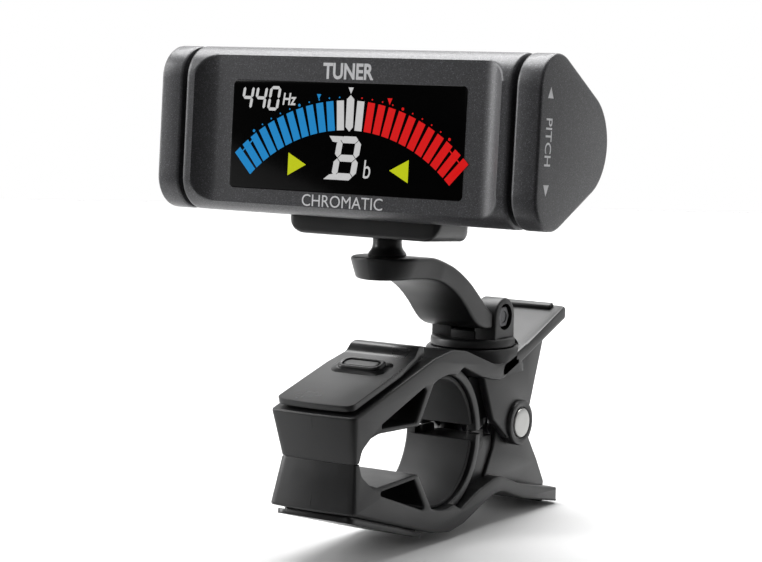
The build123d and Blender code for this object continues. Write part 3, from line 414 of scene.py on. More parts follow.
UPPER_EAR = [(12.3, 10.4), (16.2, 1.6, 1.5), (21.6, -2.4, 1.0), (28.2, -2.2, 1.0), (28.9, 2.4, 1.0),
             (33.4, 14.2, 0.5), (27.0, 12.8), (17.0, 9.6)]
upper_parts = jaw_body("upper", (41.9, 19.5), (6.1, 7.6), UPPER_EAR)
pocket = lathe("pocket", [(8.1, SEAT_Z), (8.1, 20)], (0, SWIVEL_Y, 0))
cut(upper_parts[0], pocket)
flare = lathe("flare", [(2.5, 9.0), (9.0, 9.2), (8.95, 10.2), (8.6, 11.4), (8.35, 12.4), (8.1, 13.2),
                        (7.8, 13.5),
                        (2.5, 13.5)], (0, SWIVEL_Y, 0), steps=72)
reshape(flare, lambda spot: Vector((max(-JAW_HALF, min(JAW_HALF, spot.x)), spot.y, spot.z)))
upper_parts.append(flare)
upper_parts.append(lathe("guide", [(2.5, 9.0), (4.2, 9.0), (4.2, 11.0), (2.5, 11.0)], (0, SWIVEL_Y, 0)))
for side in (-1, 1):
    face = side * 7.5
    ring = lathe("ring", [(2.75, 0), (4.0, 0), (4.0, 0.55), (3.85, 0.75), (3.6, 0.8), (3.0, 0.8),
                          (2.8, 0.65), (2.75, 0.5)],
                 (0, 0, 0), steps=64)
    ring.data.transform(Matrix.Translation((face, PIVOT_Y, 0)) @ Matrix.Rotation(side * math.pi / 2, 4, "Y"))
    upper_parts.append(ring)
upper_jaw = join("upper_jaw_body", upper_parts)
finish(upper_jaw, NYLON, "clip_upper", ["upper_jaw"])

# ---------------------------------------------------------------- lower jaw
# The lower lever is the same moulding turned over, with its ears inside the
# upper ones and a slightly shorter, flatter handle.

LOWER_EAR = [(14.2, 11.2), (15.6, 9.7, 2.0), (19.1, 4.1, 3.0), (21.3, -1.5, 0.5), (28.4, -1.5, 0.5),
             (30.7, 2.2, 2.0),
             (35.1, 8.3, 3.0), (37.8, 12.7, 0.6), (37.4, 14.6, 0.5), (27.0, 11.6), (17.0, 9.6)]
lower_parts = jaw_body("lower", (39.7, 16.5), (4.5, 5.9), LOWER_EAR)
lower_jaw = join("lower_jaw_body", lower_parts)
turn_over(lower_jaw)
finish(lower_jaw, NYLON, "clip_lower", ["lower_jaw"])

# ---------------------------------------------------------------- jaw covers
# Two smooth snap-on plates in satin ABS. Each stands on a smaller spacer, so a
# dark shadow line runs round it, and rolls up to a lip at the rear.

# Satin ABS: near black, smoother and glossier than the nylon round it.
COVER_ABS = moulded_plastic("cover_abs", "#0C0C0D", "#111112", 0.3, 0.25, 0.18)

SEAT_SLOPE = math.radians(16)
SEAT = Matrix(((1, 0, 0, 0), (0, math.cos(SEAT_SLOPE), -math.sin(SEAT_SLOPE), NOSE_Y),
               (0, math.sin(SEAT_SLOPE), math.cos(SEAT_SLOPE), NOSE_Z), (0, 0, 0, 1)))


COVER_HALF = 7.3
COVER_CORNER = 1.2
COVER_FRONT = 0.9
SIDE_TAPER_FROM = 16.2
LIP_FROM = 20.9
LIP_TO = 23.7


def cover_plate(name, lip_height, gap, top):
    """The plate with its rear lip, and the spacer under it."""
    shape = bmesh.new()
    rows = []
    along = [COVER_FRONT, 1.3, 1.9, 3.2, 5, 9, 12, 14.5, 16.2, 18, 19.5, 20.5, 21, 21.5, 22, 22.5, 23, 23.5,
             24, 24.5]
    across = [-1, -0.985, -0.95, -0.88, -0.75, -0.5, -0.25, 0, 0.25, 0.5, 0.75, 0.88, 0.95, 0.985, 1]
    for s in along:
        half = COVER_HALF - 0.8 * min(1.0, max(0.0, (s - SIDE_TAPER_FROM) / 7.5))
        climb = min(1.0, max(0.0, (s - LIP_FROM) / 2.2))
        lip = lip_height * climb * climb * (3 - 2 * climb) - max(0.0, s - LIP_TO) * 0.3
        row = []
        for t in across:
            x = t * half
            front = s
            if s < 4:
                inside = min(max(0.0, abs(x) - 6.1), COVER_CORNER)
                round_off = COVER_CORNER - math.sqrt(COVER_CORNER ** 2 - inside ** 2)
                front += (0.45 * (x / COVER_HALF) ** 2 + round_off) * (1 - (s - COVER_FRONT) / 3.1)
            row.append((x, front, lip))
        rows.append(row)
    for height in (0, 1):
        for row in rows:
            for spot in row:
                level = top + spot[2] if height else gap
                shape.verts.new((spot[0], spot[1], level))
    shape.verts.ensure_lookup_table()
    wide = len(across)
    tall = len(along)

    def at(height, row, column):
        return shape.verts[height * wide * tall + row * wide + column]

    for row in range(tall - 1):
        for column in range(wide - 1):
            for height in (0, 1):
                shape.faces.new((at(height, row, column), at(height, row, column + 1),
                                 at(height, row + 1, column + 1), at(height, row + 1, column)))
        for column in (0, wide - 1):
            shape.faces.new((at(0, row, column), at(0, row + 1, column), at(1, row + 1, column),
                             at(1, row, column)))
    for column in range(wide - 1):
        for row in (0, tall - 1):
            shape.faces.new((at(0, row, column), at(0, row, column + 1), at(1, row, column + 1),
                             at(1, row, column)))
    bmesh.ops.recalc_face_normals(shape, faces=shape.faces)
    mesh = bpy.data.meshes.new(name)
    shape.to_mesh(mesh)
    shape.free()
    mesh.transform(SEAT)
    made = link_mesh(name, mesh)
    bevel(made, 0.36, 3, 50)
    foot = rounded([(-6.4, 2.0, 1.0), (6.4, 2.0, 1.0), (6.4, SIDE_TAPER_FROM),
                    (5.6, LIP_TO), (-5.6, LIP_TO), (-6.4, SIDE_TAPER_FROM)])
    spacer = plate(name + "_spacer", [foot], -0.1, gap + 0.2, 0.05, SEAT)
    return [made, spacer]


def stadium(half_length, half_width, radius):
    """Rounded rectangle outline about the origin."""
    return rounded([(-half_length, -half_width, radius), (half_length, -half_width, radius),
                    (half_length, half_width, radius), (-half_length, half_width, radius)], 8)


def loft(name, loops, place):
    """Skin over equal closed loops of (x, y, z) points, closed at both ends."""
    shape = bmesh.new()
    rings = [[shape.verts.new(spot) for spot in loop] for loop in loops]
    count = len(rings[0])
    for low, high in zip(rings, rings[1:]):
        for k in range(count):
            shape.faces.new((low[k], low[(k + 1) % count], high[(k + 1) % count], high[k]))
    shape.faces.new(rings[0][::-1])
    shape.faces.new(rings[-1])
    bmesh.ops.recalc_face_normals(shape, faces=shape.faces)
    mesh = bpy.data.meshes.new(name)
    shape.to_mesh(mesh)
    shape.free()
    mesh.transform(place)
    return link_mesh(name, mesh)


def mound(name, steps, place):
    """Stack of rounded rectangles (half length, half width, radius, height)."""
    loops = [[(x, y, height) for x, y in stadium(length, width, radius)] for length, width, radius,
             height in steps]
    return loft(name, loops, place)


BUMP = SEAT @ Matrix.Translation((0, 15.7, 1.45))
upper_cover_parts = cover_plate("upper_plate", 0.95, 0.5, 1.5)
BUMP_BASE = [(5.3, 2.9, 2.2, -0.1), (5.25, 2.85, 2.15, 0.06), (5.0, 2.6, 2.0, 0.2),
             (4.5, 2.25, 1.8, 0.42), (4.3, 2.1, 1.7, 0.46)]
BUMP_RING = [(4.15, 1.95, 1.55, 0.2), (4.15, 1.95, 1.55, 0.7), (4.05, 1.85, 1.5, 0.85),
             (3.85, 1.65, 1.4, 0.92), (3.6, 1.42, 1.2, 0.9), (3.45, 1.3, 1.1, 0.8), (3.4, 1.25, 1.05, 0.5)]
BUMP_PAD = [(3.25, 1.12, 0.95, 0.3), (3.25, 1.12, 0.95, 0.66), (3.15, 1.02, 0.9, 0.75),
            (2.9, 0.8, 0.7, 0.78)]
for name, steps in (("bump_base", BUMP_BASE), ("bump_ring", BUMP_RING), ("bump_pad", BUMP_PAD)):
    upper_cover_parts.append(mound(name, steps, BUMP))
upper_cover = join("upper_cover_plate", upper_cover_parts)
finish(upper_cover, COVER_ABS, "clip_upper", ["upper_cover"])

lower_cover = join("lower_cover_plate", cover_plate("lower_plate", 0.0, 0.25, 1.05))
turn_over(lower_cover)
finish(lower_cover, COVER_ABS, "clip_lower", ["lower_cover"])

# ---------------------------------------------------------------- soft pads
# Two liners in soft black rubber, glued inside the round opening. They stop
# short of the mouth and of the rear wall, so each jaw keeps its own.

GRIP_R = 10.4
LINER_R = 11.2
LINER_ENDS = (7.5, 116)

# Thermoplastic rubber: matt, a little lighter than the nylon.
PAD_RUBBER = moulded_plastic("pad_rubber", "#121213", "#19191A", 0.6, 0.12, 0.5)

for name, sign, body in (("upper_pad", 1, "clip_upper"), ("lower_pad", -1, "clip_lower")):
    inner = arc((0, 0), GRIP_R, LINER_ENDS[0], LINER_ENDS[1], 48)
    outer = arc((0, 0), LINER_R, LINER_ENDS[1], LINER_ENDS[0], 48)
    pad = plate(name + "_liner", [inner + outer], -6.3, 6.3, 0.2)
    if sign < 0:
        turn_over(pad)
    finish(pad, PAD_RUBBER, body, [name])

# ---------------------------------------------------------------- pivot pin
# Turned steel pin, its head faced on the lathe and left bright; on the other
# side a pressed cap of the same steel.


def turned_steel(name, colour, roughness, centre_yz):
    """Lathe-turned steel: fine rings round the pin's axis that stretch the highlight."""
    made, tree, shader, where = start_material(name, {
        "Base Color": linear(colour), "Metallic": 1.0, "Roughness": roughness, "Anisotropic": 0.35})
    parts = add_node(tree, "ShaderNodeSeparateXYZ", {"Vector": where})
    across = add_node(tree, "ShaderNodeMath", {0: parts.outputs["Y"], 1: centre_yz[0] * MM},
                      operation="SUBTRACT")
    up = add_node(tree, "ShaderNodeMath", {0: parts.outputs["Z"], 1: centre_yz[1] * MM},
                  operation="SUBTRACT")
    flat = add_node(tree, "ShaderNodeCombineXYZ", {"Y": across.outputs[0], "Z": up.outputs[0]})
    radius = add_node(tree, "ShaderNodeVectorMath", {0: flat.outputs[0]}, operation="LENGTH")
    rings = add_node(tree, "ShaderNodeTexNoise", {
        "W": radius.outputs["Value"], "Scale": 1 / (0.06 * MM), "Detail": 2.0}, noise_dimensions="1D")
    add_bump(tree, shader, rings.outputs["Fac"], 0.12, 0.02)
    return made


BRIGHT_STEEL = turned_steel("bright_steel", "#A5A5A3", 0.3, (PIVOT_Y, 0.0))
PIN_PROFILE = [(1.6, -8.3), (1.6, 7.6), (2.6, 7.6), (2.6, 8.2), (2.5, 8.38), (2.3, 8.45), (1.2, 8.45)]
CAP_PROFILE = [(1.2, -8.45), (2.3, -8.45), (2.5, -8.38), (2.6, -8.2), (2.6, -7.6), (1.62, -7.6)]
pin = lathe("pivot_pin_turned", PIN_PROFILE, (0, PIVOT_Y, 0), "X", 72)
finish(pin, BRIGHT_STEEL, "clip_upper", ["pivot_pin"])
cap = lathe("pin_cap_pressed", CAP_PROFILE, (0, PIVOT_Y, 0), "X", 72)
finish(cap, BRIGHT_STEEL, "clip_upper", ["pin_cap"])

# ---------------------------------------------------------------- spring
# Torsion spring wound from 1.2 mm wire round the pin; its legs press the two
# handles apart. The upper leg moves with the coil, the lower one with its jaw.
# The coil is a spiral with a round section swept along it.

# Drawn spring wire: mid grey steel with fine lengthwise die marks.
SPRING_STEEL = turned_steel("spring_steel", "#8C8C8E", 0.34, (PIVOT_Y, 0.0))


def modifier_tree(name, inputs):
    """Empty geometry tree with named number inputs."""
    tree = bpy.data.node_groups.new(name, "GeometryNodeTree")
    sockets = {}
    for label, kind, value in inputs:
        socket = tree.interface.new_socket(label, in_out="INPUT", socket_type=kind)
        socket.default_value = value
        sockets[label] = socket.identifier
    tree.interface.new_socket("Geometry", in_out="OUTPUT", socket_type="NodeSocketGeometry")
    return tree, tree.nodes.new("NodeGroupInput"), tree.nodes.new("NodeGroupOutput"), sockets


def grow(name, tree, sockets, values):
    """Run a geometry tree on an empty mesh and keep the plain result."""
    host = link_mesh(name, bpy.data.meshes.new(name))
    modifier = host.modifiers.new("grow", "NODES")
    modifier.node_group = tree
    for label, value in values.items():
        modifier[sockets[label]] = value
    mesh = baked(host)
    host.modifiers.remove(modifier)
    old = host.data
    host.data = mesh
    bpy.data.meshes.remove(old)
    return host


COIL_TURNS = 5.5
COIL_R = 2.55
COIL_LENGTH = 7.48
WIRE_R = 0.6
LEG_LEAN = math.radians(52)
LEG_PROFILE = [(0.2, -0.6), (0.45, -0.5), (WIRE_R, -0.2), (WIRE_R, 10.2), (0.45, 10.35), (0.2, 10.4)]
coil_tree, coil_in, coil_out, coil_sockets = modifier_tree("coil", [
    ("Turns", "NodeSocketFloat", COIL_TURNS), ("Radius", "NodeSocketFloat", COIL_R),
    ("Length", "NodeSocketFloat", COIL_LENGTH), ("Wire", "NodeSocketFloat", WIRE_R)])
spiral = add_node(coil_tree, "GeometryNodeCurveSpiral", {
    "Resolution": 26, "Rotations": coil_in.outputs["Turns"], "Start Radius": coil_in.outputs["Radius"],
    "End Radius": coil_in.outputs["Radius"], "Height": coil_in.outputs["Length"]})
wire = add_node(coil_tree, "GeometryNodeCurvePrimitiveCircle",
                {"Resolution": 12, "Radius": coil_in.outputs["Wire"]})
swept = add_node(coil_tree, "GeometryNodeCurveToMesh", {
    "Curve": spiral.outputs["Curve"], "Profile Curve": wire.outputs["Curve"], "Fill Caps": True})
painted = add_node(coil_tree, "GeometryNodeSetMaterial", {
    "Geometry": swept.outputs["Mesh"], "Material": SPRING_STEEL})
solid = add_node(coil_tree, "GeometryNodeRealizeInstances", {"Geometry": painted.outputs["Geometry"]})
coil_tree.links.new(solid.outputs["Geometry"], coil_out.inputs["Geometry"])
coil = grow("coil", coil_tree, coil_sockets, {
    "Turns": COIL_TURNS, "Radius": COIL_R, "Length": COIL_LENGTH, "Wire": WIRE_R})
coil_start = Matrix.Translation((-COIL_LENGTH / 2, PIVOT_Y, 0))
coil.data.transform(coil_start @ Matrix.Rotation(math.pi / 2, 4, "Y"))


def spring_leg(name, side):
    """Straight end of the wire, leaving the coil towards one handle."""
    leg = lathe(name, LEG_PROFILE, (0, 0, 0), steps=14)
    start = Vector((side * COIL_LENGTH / 2, PIVOT_Y - COIL_R * math.sin(LEG_LEAN),
                    side * COIL_R * math.cos(LEG_LEAN)))
    turn = -side * (math.pi / 2 - LEG_LEAN) - (0 if side > 0 else math.pi)
    leg.data.transform(Matrix.Translation(start) @ Matrix.Rotation(turn, 4, "X"))
    return leg


spring = join("spring_coil", [coil, spring_leg("upper_leg", 1)])
finish(spring, SPRING_STEEL, "clip_upper", ["torsion_spring"], 60)
lower_leg = spring_leg("spring_lower_leg", -1)
finish(lower_leg, SPRING_STEEL, "clip_lower", [], 60)

# ---------------------------------------------------------------- turntable
# Round swivel base with the two hinge ears of the arm, one nylon moulding that
# sits in the flared seat and is held from below by a wide-headed screw.

HINGE_Z = 18.9
HINGE = (SWIVEL_Y, HINGE_Z)
RECESS_X = 4.95
HINGE_EAR = (2.2, 6.5)
base_parts = [lathe("disc", [(2.2, 8.9), (2.2, 13.6), (7.2, 13.6), (7.4, 13.8), (7.4, 14.75), (7.3, 15.0),
                             (7.05, 15.18),
                             (6.7, 15.2), (5.9, 15.2), (5.7, 15.05), (1.0, 15.05)], (0, SWIVEL_Y, 0),
                    steps=96)]
plinth = rounded([(17.9, 14.9), (24.7, 14.9), (24.7, 16.5, 0.4), (17.9, 16.5, 0.4)])
base_parts.append(plate("plinth", [plinth], -2.4, 2.4, 0.05))
ear_side = arc(HINGE, 3.3, 0, 180, 28) + [(18.0, 15.0), (24.6, 15.0)]
for side in (-1, 1):
    low, high = sorted((side * HINGE_EAR[0], side * HINGE_EAR[1]))
    ear = plate("hinge_ear", [ear_side], low, high, 0.35)
    recess_r = 2.3 if side > 0 else 1.95
    recess = lathe("recess", [(recess_r, 0), (recess_r, 4)], (0, 0, 0))
    outward = Matrix.Rotation(side * math.pi / 2, 4, "Y")
    recess.data.transform(Matrix.Translation((side * RECESS_X, SWIVEL_Y, HINGE_Z)) @ outward)
    cut(ear, recess)
    base_parts.append(ear)
turntable = join("turntable_moulding", base_parts)
finish(turntable, NYLON, "swivel", ["turntable"])

# Black-oxide steel: dark, low sheen, faint mottling left by the bath.
BLACK_STEEL, tree, shader, where = start_material("black_oxide", {"Metallic": 1.0, "Roughness": 0.38})
mottle = add_node(tree, "ShaderNodeTexNoise", {"Vector": where, "Scale": 1 / (0.5 * MM), "Detail": 4.0})
tones = blend_tones(tree, mottle.outputs["Fac"], "#3A3A3C", "#5A5A5C")
tree.links.new(tones, shader.inputs["Base Color"])
hexagon = arc(HINGE, 1.96, 0, 300, 5)
nut = plate("nut_body", [hexagon, arc(HINGE, 1.02, 0, 350, 35)], RECESS_X, RECESS_X + 1.2, 0.14)
finish(nut, BLACK_STEEL, "swivel", ["hinge_nut"], 25)

# ---------------------------------------------------------------- arm
# S-shaped strap in the same nylon. Its level end carries the ball stud; the
# low end stops at a shoulder and goes on as a tongue between the ears.

STUD_Y = -6.8
ARM_TOP = 31.1
ARM_LOW = 27.5
ARM_HALF = 6.0
ARM_LOW_HALF = 5.2
ARM_EDGE = 0.6
END_LOOPS = 14
STRAP_LOOPS = 56
ARM_LINE = [((-6.8, 31.1), (-6.8, 27.5)), ((-2.0, 30.85), (-3.2, 27.3)), ((0.7, 30.3), (-0.6, 26.95)),
            ((2.9, 29.6), (1.4, 26.4)),
            ((5.2, 28.75), (3.4, 25.6)), ((7.8, 27.45), (5.3, 24.6)), ((10.5, 25.75), (7.2, 23.3)),
            ((12.6, 24.1), (9.1, 21.7)),
            ((14.6, 22.4), (10.9, 19.9)), ((16.1, 21.1), (12.8, 18.35)), ((17.1, 20.4), (15.3, 17.35)),
            ((17.62, 20.1), (17.62, 17.1))]


def along_curve(values, t):
    """Smooth value at t along a list (Catmull-Rom)."""
    last = len(values) - 1
    i = min(int(t), last - 1)
    f = t - i
    p0, p1, p2, p3 = (values[max(0, min(last, i + k))] for k in (-1, 0, 1, 2))
    square = 2 * p0 - 5 * p1 + 4 * p2 - p3
    cube = 3 * p1 - p0 - 3 * p2 + p3
    return 0.5 * (2 * p1 + (p2 - p0) * f + square * f ** 2 + cube * f ** 3)


def bar_loop(top, bottom, top_half, bottom_half, edge):
    """Rounded rectangle between a top and a bottom point, across X."""
    top = Vector(top)
    bottom = Vector(bottom)
    height = (top - bottom).length
    points = []
    for sx, sz, start in ((1, 1, 0), (-1, 1, 90), (-1, -1, 180), (1, -1, 270)):
        half = top_half if sz > 0 else bottom_half
        reach = min(edge, half * 0.9)
        for k in range(5):
            angle = math.radians(start + 90 * k / 4)
            x = sx * (half - reach) + reach * math.cos(angle)
            level = (height - edge if sz > 0 else edge) + edge * math.sin(angle)
            spot = bottom + (top - bottom) * (level / height)
            points.append((x, spot.x, spot.y))
    return points


arm_loops = []
for k in range(END_LOOPS):
    swing = math.radians(88.5 * (1 - k / END_LOOPS))
    top = (STUD_Y - ARM_HALF * math.sin(swing), ARM_TOP)
    bottom = (STUD_Y - ARM_LOW_HALF * math.sin(swing), ARM_LOW)
    arm_loops.append(bar_loop(top, bottom, ARM_HALF * math.cos(swing), ARM_LOW_HALF * math.cos(swing),
                              ARM_EDGE))
for k in range(STRAP_LOOPS):
    t = k * (len(ARM_LINE) - 1) / (STRAP_LOOPS - 1)
    top = [along_curve([pair[0][axis] for pair in ARM_LINE], t) for axis in (0, 1)]
    bottom = [along_curve([pair[1][axis] for pair in ARM_LINE], t) for axis in (0, 1)]
    low_half = ARM_LOW_HALF + (ARM_HALF - ARM_LOW_HALF) * min(1.0, t / 2.5)
    arm_loops.append(bar_loop(top, bottom, ARM_HALF, low_half, ARM_EDGE))
strap = loft("strap", arm_loops, Matrix.Identity(4))
bore = lathe("bore", [(1.85, 26), (1.85, 33)], (0, STUD_Y, 0))
cut(strap, bore)
sink = lathe("sink", [(3.0, 26), (3.0, 28.65)], (0, STUD_Y, 0))
cut(strap, sink)
tongue = plate("tongue", [arc(HINGE, 2.75, -115, 115, 28) + [(17.4, 20.1), (17.4, 17.2)]], -2.05, 2.05, 0.25)
arm = join("arm_strap", [strap, tongue])
finish(arm, NYLON, "tilt_arm", ["arm"])

# ---------------------------------------------------------------- ball stud
# Black acetal stud: flared foot on the arm, round stem, ball inside the head's
# housing. A screw from below pulls its foot into the arm.

# Acetal: dense black plastic with a slightly waxy gloss.
ACETAL = moulded_plastic("black_acetal", "#121213", "#161617", 0.28, 0.4, 0.08)
BALL_Z = 38.7
BALL_R = 3.2
NECK_ANGLE = -58
BALL_STEPS = 15
stud_profile = [(0.82, 28.65), (1.8, 28.65), (1.8, 31.16), (3.15, 31.18), (3.2, 31.4), (3.0, 31.75),
                (2.65, 32.2), (2.45, 32.7),
                (2.4, 33.3), (2.4, 35.2), (2.2, 35.6), (1.75, 35.95)]
for k in range(BALL_STEPS):
    angle = math.radians(NECK_ANGLE + (90 - NECK_ANGLE) * k / BALL_STEPS)
    stud_profile.append((BALL_R * math.cos(angle), BALL_Z + BALL_R * math.sin(angle)))
stud_profile.append((0.05, BALL_Z + BALL_R))
stud = lathe("ball_stud_turned", stud_profile, (0, STUD_Y, 0), steps=72)
finish(stud, ACETAL, "stud", ["ball_stud"])

# ---------------------------------------------------------------- housing
# Boat-shaped nylon block under the head; it holds the ball's socket and its
# top follows the casing. Rounded left and right, square at the front.

HEAD_Y = -21.5
HEAD_Z = 51.6
TILT = math.radians(3.6)
HEAD = Matrix(((1, 0, 0, 0), (0, math.cos(TILT), math.sin(TILT), HEAD_Y),
               (0, -math.sin(TILT), math.cos(TILT), HEAD_Z), (0, 0, 0, 1)))
ball_in_head = HEAD.inverted() @ Vector((0, STUD_Y, BALL_Z))
# The head's section: centre and radius of its front corner and of its rear apex.
CORNER = (5.5, 8.0, 5.5)
APEX = (14.0, 0.0, 8.5)
SLOPE_START = (8.12, 12.84)
SLOPE_FALL = 0.541
SLOPE_END_U = 18.04
DOOR_FRONT_U = 16.6
BOAT_HALF = 14.6
BOAT_LENGTH = 12
KEEL_R = 3.0
boat_front = ball_in_head.y - 7.5
boat_low = ball_in_head.z - 4.5
boat_top = boat_low + 8.2
boat_plan = rounded([(-BOAT_HALF, boat_front, 1.2), (BOAT_HALF, boat_front, 1.2),
                     (BOAT_HALF, boat_front + BOAT_LENGTH, 4.5),
                     (-BOAT_HALF, boat_front + BOAT_LENGTH, 4.5)], 8)
boat = plate("boat", [boat_plan], boat_low, boat_top, 0.55, Matrix.Identity(4))
slice_across(boat, 0, [s * x for s in (-1, 1) for x in (11.6, 12.2, 12.8, 13.3, 13.7, 14.0, 14.25, 14.45)])


def round_keel(spot):
    """Rounds the block's two lower ends, seen from the front."""
    inside = min(max(0.0, abs(spot.x) - (BOAT_HALF - KEEL_R)), KEEL_R - 0.02)
    rise = KEEL_R - math.sqrt(KEEL_R ** 2 - inside ** 2)
    if spot.z < boat_low + 0.6:
        spot.z += rise
    return spot


def fit_under_head(spot):
    """Lets the block's top follow the casing's slope; a narrow gap stays under the door."""
    if spot.z > boat_low + 4:
        if spot.y < SLOPE_END_U:
            skin = SLOPE_START[1] - (spot.y - SLOPE_START[0]) * SLOPE_FALL
        else:
            skin = math.sqrt(APEX[2] ** 2 - (spot.y - APEX[0]) ** 2)
        gap = 0.3 if spot.y < DOOR_FRONT_U else -0.32
        spot.z = -skin + gap - (boat_top - spot.z) * 0.1
    return spot


slice_across(boat, 1, (10.0, 12.0, 14.0, 16.0, 16.5, 16.7, 17.5, 18.2, 18.8, 19.3, 19.7))
reshape(boat, fit_under_head)
reshape(boat, round_keel)
boat.data.transform(HEAD)
mouth = lathe("mouth", [(3.95, 30), (3.95, BALL_Z - 4.5), (3.45, BALL_Z - 3.6), (3.45, BALL_Z - 2.4)],
              (0, STUD_Y, 0))
cut(boat, mouth)
finish(boat, NYLON, "head", ["ball_housing"])

# ---------------------------------------------------------------- casing
# Three-sided casing in two painted ABS shells with a battery door behind. The
# front is hollowed into a shallow pocket that scoops up at its two ends.


def flake_paint(name):
    """Metallic lacquer: dark grey base, fine bright and dark flakes, clear satin top."""
    made, tree, shader, where = start_material(name, {
        "Metallic": 0.25, "Roughness": 0.42, "Coat Weight": 0.15, "Coat Roughness": 0.3})
    flakes = add_node(tree, "ShaderNodeTexVoronoi", {"Vector": where, "Scale": 1 / (0.11 * MM)})
    shade = add_node(tree, "ShaderNodeSeparateColor", {"Color": flakes.outputs["Color"]})
    ramp = add_node(tree, "ShaderNodeValToRGB", {"Fac": shade.outputs["Red"]})
    ramp.color_ramp.elements[0].position = 0.0
    ramp.color_ramp.elements[0].color = linear("#2E2E30")
    ramp.color_ramp.elements[1].position = 1.0
    ramp.color_ramp.elements[1].color = linear("#626266")
    for position, colour in ((0.35, "#343436"), (0.7, "#3C3C3F"), (0.92, "#48484B")):
        ramp.color_ramp.elements.new(position).color = linear(colour)
    tree.links.new(ramp.outputs["Color"], shader.inputs["Base Color"])
    gloss = add_node(tree, "ShaderNodeMapRange", {
        "Value": shade.outputs["Green"], "To Min": 0.32, "To Max": 0.52})
    tree.links.new(gloss.outputs["Result"], shader.inputs["Roughness"])
    peel = add_node(tree, "ShaderNodeTexNoise", {"Vector": where, "Scale": 1 / (0.3 * MM), "Detail": 2.0})
    add_bump(tree, shader, peel.outputs["Fac"], 0.25, 0.02)
    return made


FLAKE = flake_paint("flake_paint")
NORMAL = math.atan2(-CORNER[1], APEX[0] - CORNER[0]) + math.acos(
    (CORNER[2] - APEX[2]) / math.hypot(APEX[0] - CORNER[0], CORNER[1]))
FLOOR_U = 1.7
FRONT_END_U = 8.8
REAR_START_U = 8.9
STRIP_END_U = 17.0
SCREW_X = 26.9
ACCESS_R = 1.95
SHELL_SMOOTH = 32
POCKET_END = 29.1
POCKET_FLAT = 25.1
RAMP_R = 5.56
SKIN = 1.5


def front_half(inset):
    """Upper half of the head's section from the middle of the front to the slope."""
    radius = CORNER[2] - inset
    crease = math.degrees(math.acos((FLOOR_U - CORNER[0]) / CORNER[2]))
    front_turn = arc(CORNER[:2], radius, 180, crease, 18)[:-1]
    return [(inset, 0.0), (inset, 3.0), (inset, 6.0)] + front_turn + arc(
        CORNER[:2], radius, crease, math.degrees(NORMAL), 14)


def slope_at(inset, u):
    """Point on the straight upper slope at depth u."""
    radius = CORNER[2] - inset
    start_u = CORNER[0] + radius * math.cos(NORMAL)
    start_v = CORNER[1] + radius * math.sin(NORMAL)
    return (u, start_v - (u - start_u) * math.cos(NORMAL) / math.sin(NORMAL))


def rear_half(inset):
    """Upper half of the rounded rear."""
    return arc(APEX[:2], APEX[2] - inset, math.degrees(NORMAL), 0, 20)


def both_halves(path):
    """The path, then its mirror image walked back."""
    under = [(u, -v) for u, v in reversed(path)]
    if abs(path[-1][1]) < 1e-6:
        under = under[1:]
    return path + under


def section_front(x, inset):
    """C-shaped section of the front shell at x, with the pocket pressed into it."""
    away = abs(x) - POCKET_FLAT
    depth = 0.0
    if away <= 0:
        depth = FLOOR_U
    elif abs(x) < POCKET_END:
        depth = FLOOR_U - RAMP_R + math.sqrt(RAMP_R ** 2 - away ** 2)
    outer = both_halves(list(reversed(front_half(inset) + [slope_at(inset, FRONT_END_U)])))
    inner = both_halves(list(reversed(front_half(SKIN) + [slope_at(SKIN, FRONT_END_U)])))
    outer = [(max(u, depth), v) for u, v in outer]
    inner = [(max(u, FLOOR_U + SKIN), v) for u, v in reversed(inner)]
    return [(x, u, v) for u, v in outer + inner]


def section_rear(x, inset, start_u):
    """C-shaped section round the rear from depth start_u."""
    outer = both_halves([slope_at(inset, start_u)] + rear_half(inset))
    inner = both_halves([slope_at(SKIN, start_u)] + rear_half(SKIN))
    return [(x, u, v) for u, v in outer + inner[::-1]]


def section_whole(x, inset):
    """Full section of the head at x."""
    half = front_half(inset) + rear_half(inset)[1:]
    return [(x, u, v) for u, v in half + [(u, -v) for u, v in reversed(half[1:-1])]]


BODY_END = 30.8
END_EDGE = [(BODY_END, 0.4), (BODY_END - 0.06, 0.22), (BODY_END - 0.2, 0.07), (BODY_END - 0.4, 0.0)]
ramp_x = [POCKET_END - 0.25 * k for k in range(17)]
half_x = END_EDGE + [(30.0, 0.0), (29.5, 0.0)] + [(x, 0.0) for x in ramp_x] + [
    (22.5, 0.0), (15.0, 0.0), (7.5, 0.0)]
stations = half_x + [(0.0, 0.0)] + [(-x, inset) for x, inset in reversed(half_x)]
shell_parts = [loft("front_skin", [section_front(x, inset) for x, inset in stations], HEAD)]
for side in (-1, 1):
    end_wall = [section_whole(side * x, inset) for x, inset in ((29.3, 1.45), (31.5, 1.45))]
    shell_parts.append(loft("end_wall", end_wall, HEAD))
front_shell = join("front_shell_skin", shell_parts)
finish(front_shell, FLAKE, "head", ["front_shell"], SHELL_SMOOTH)

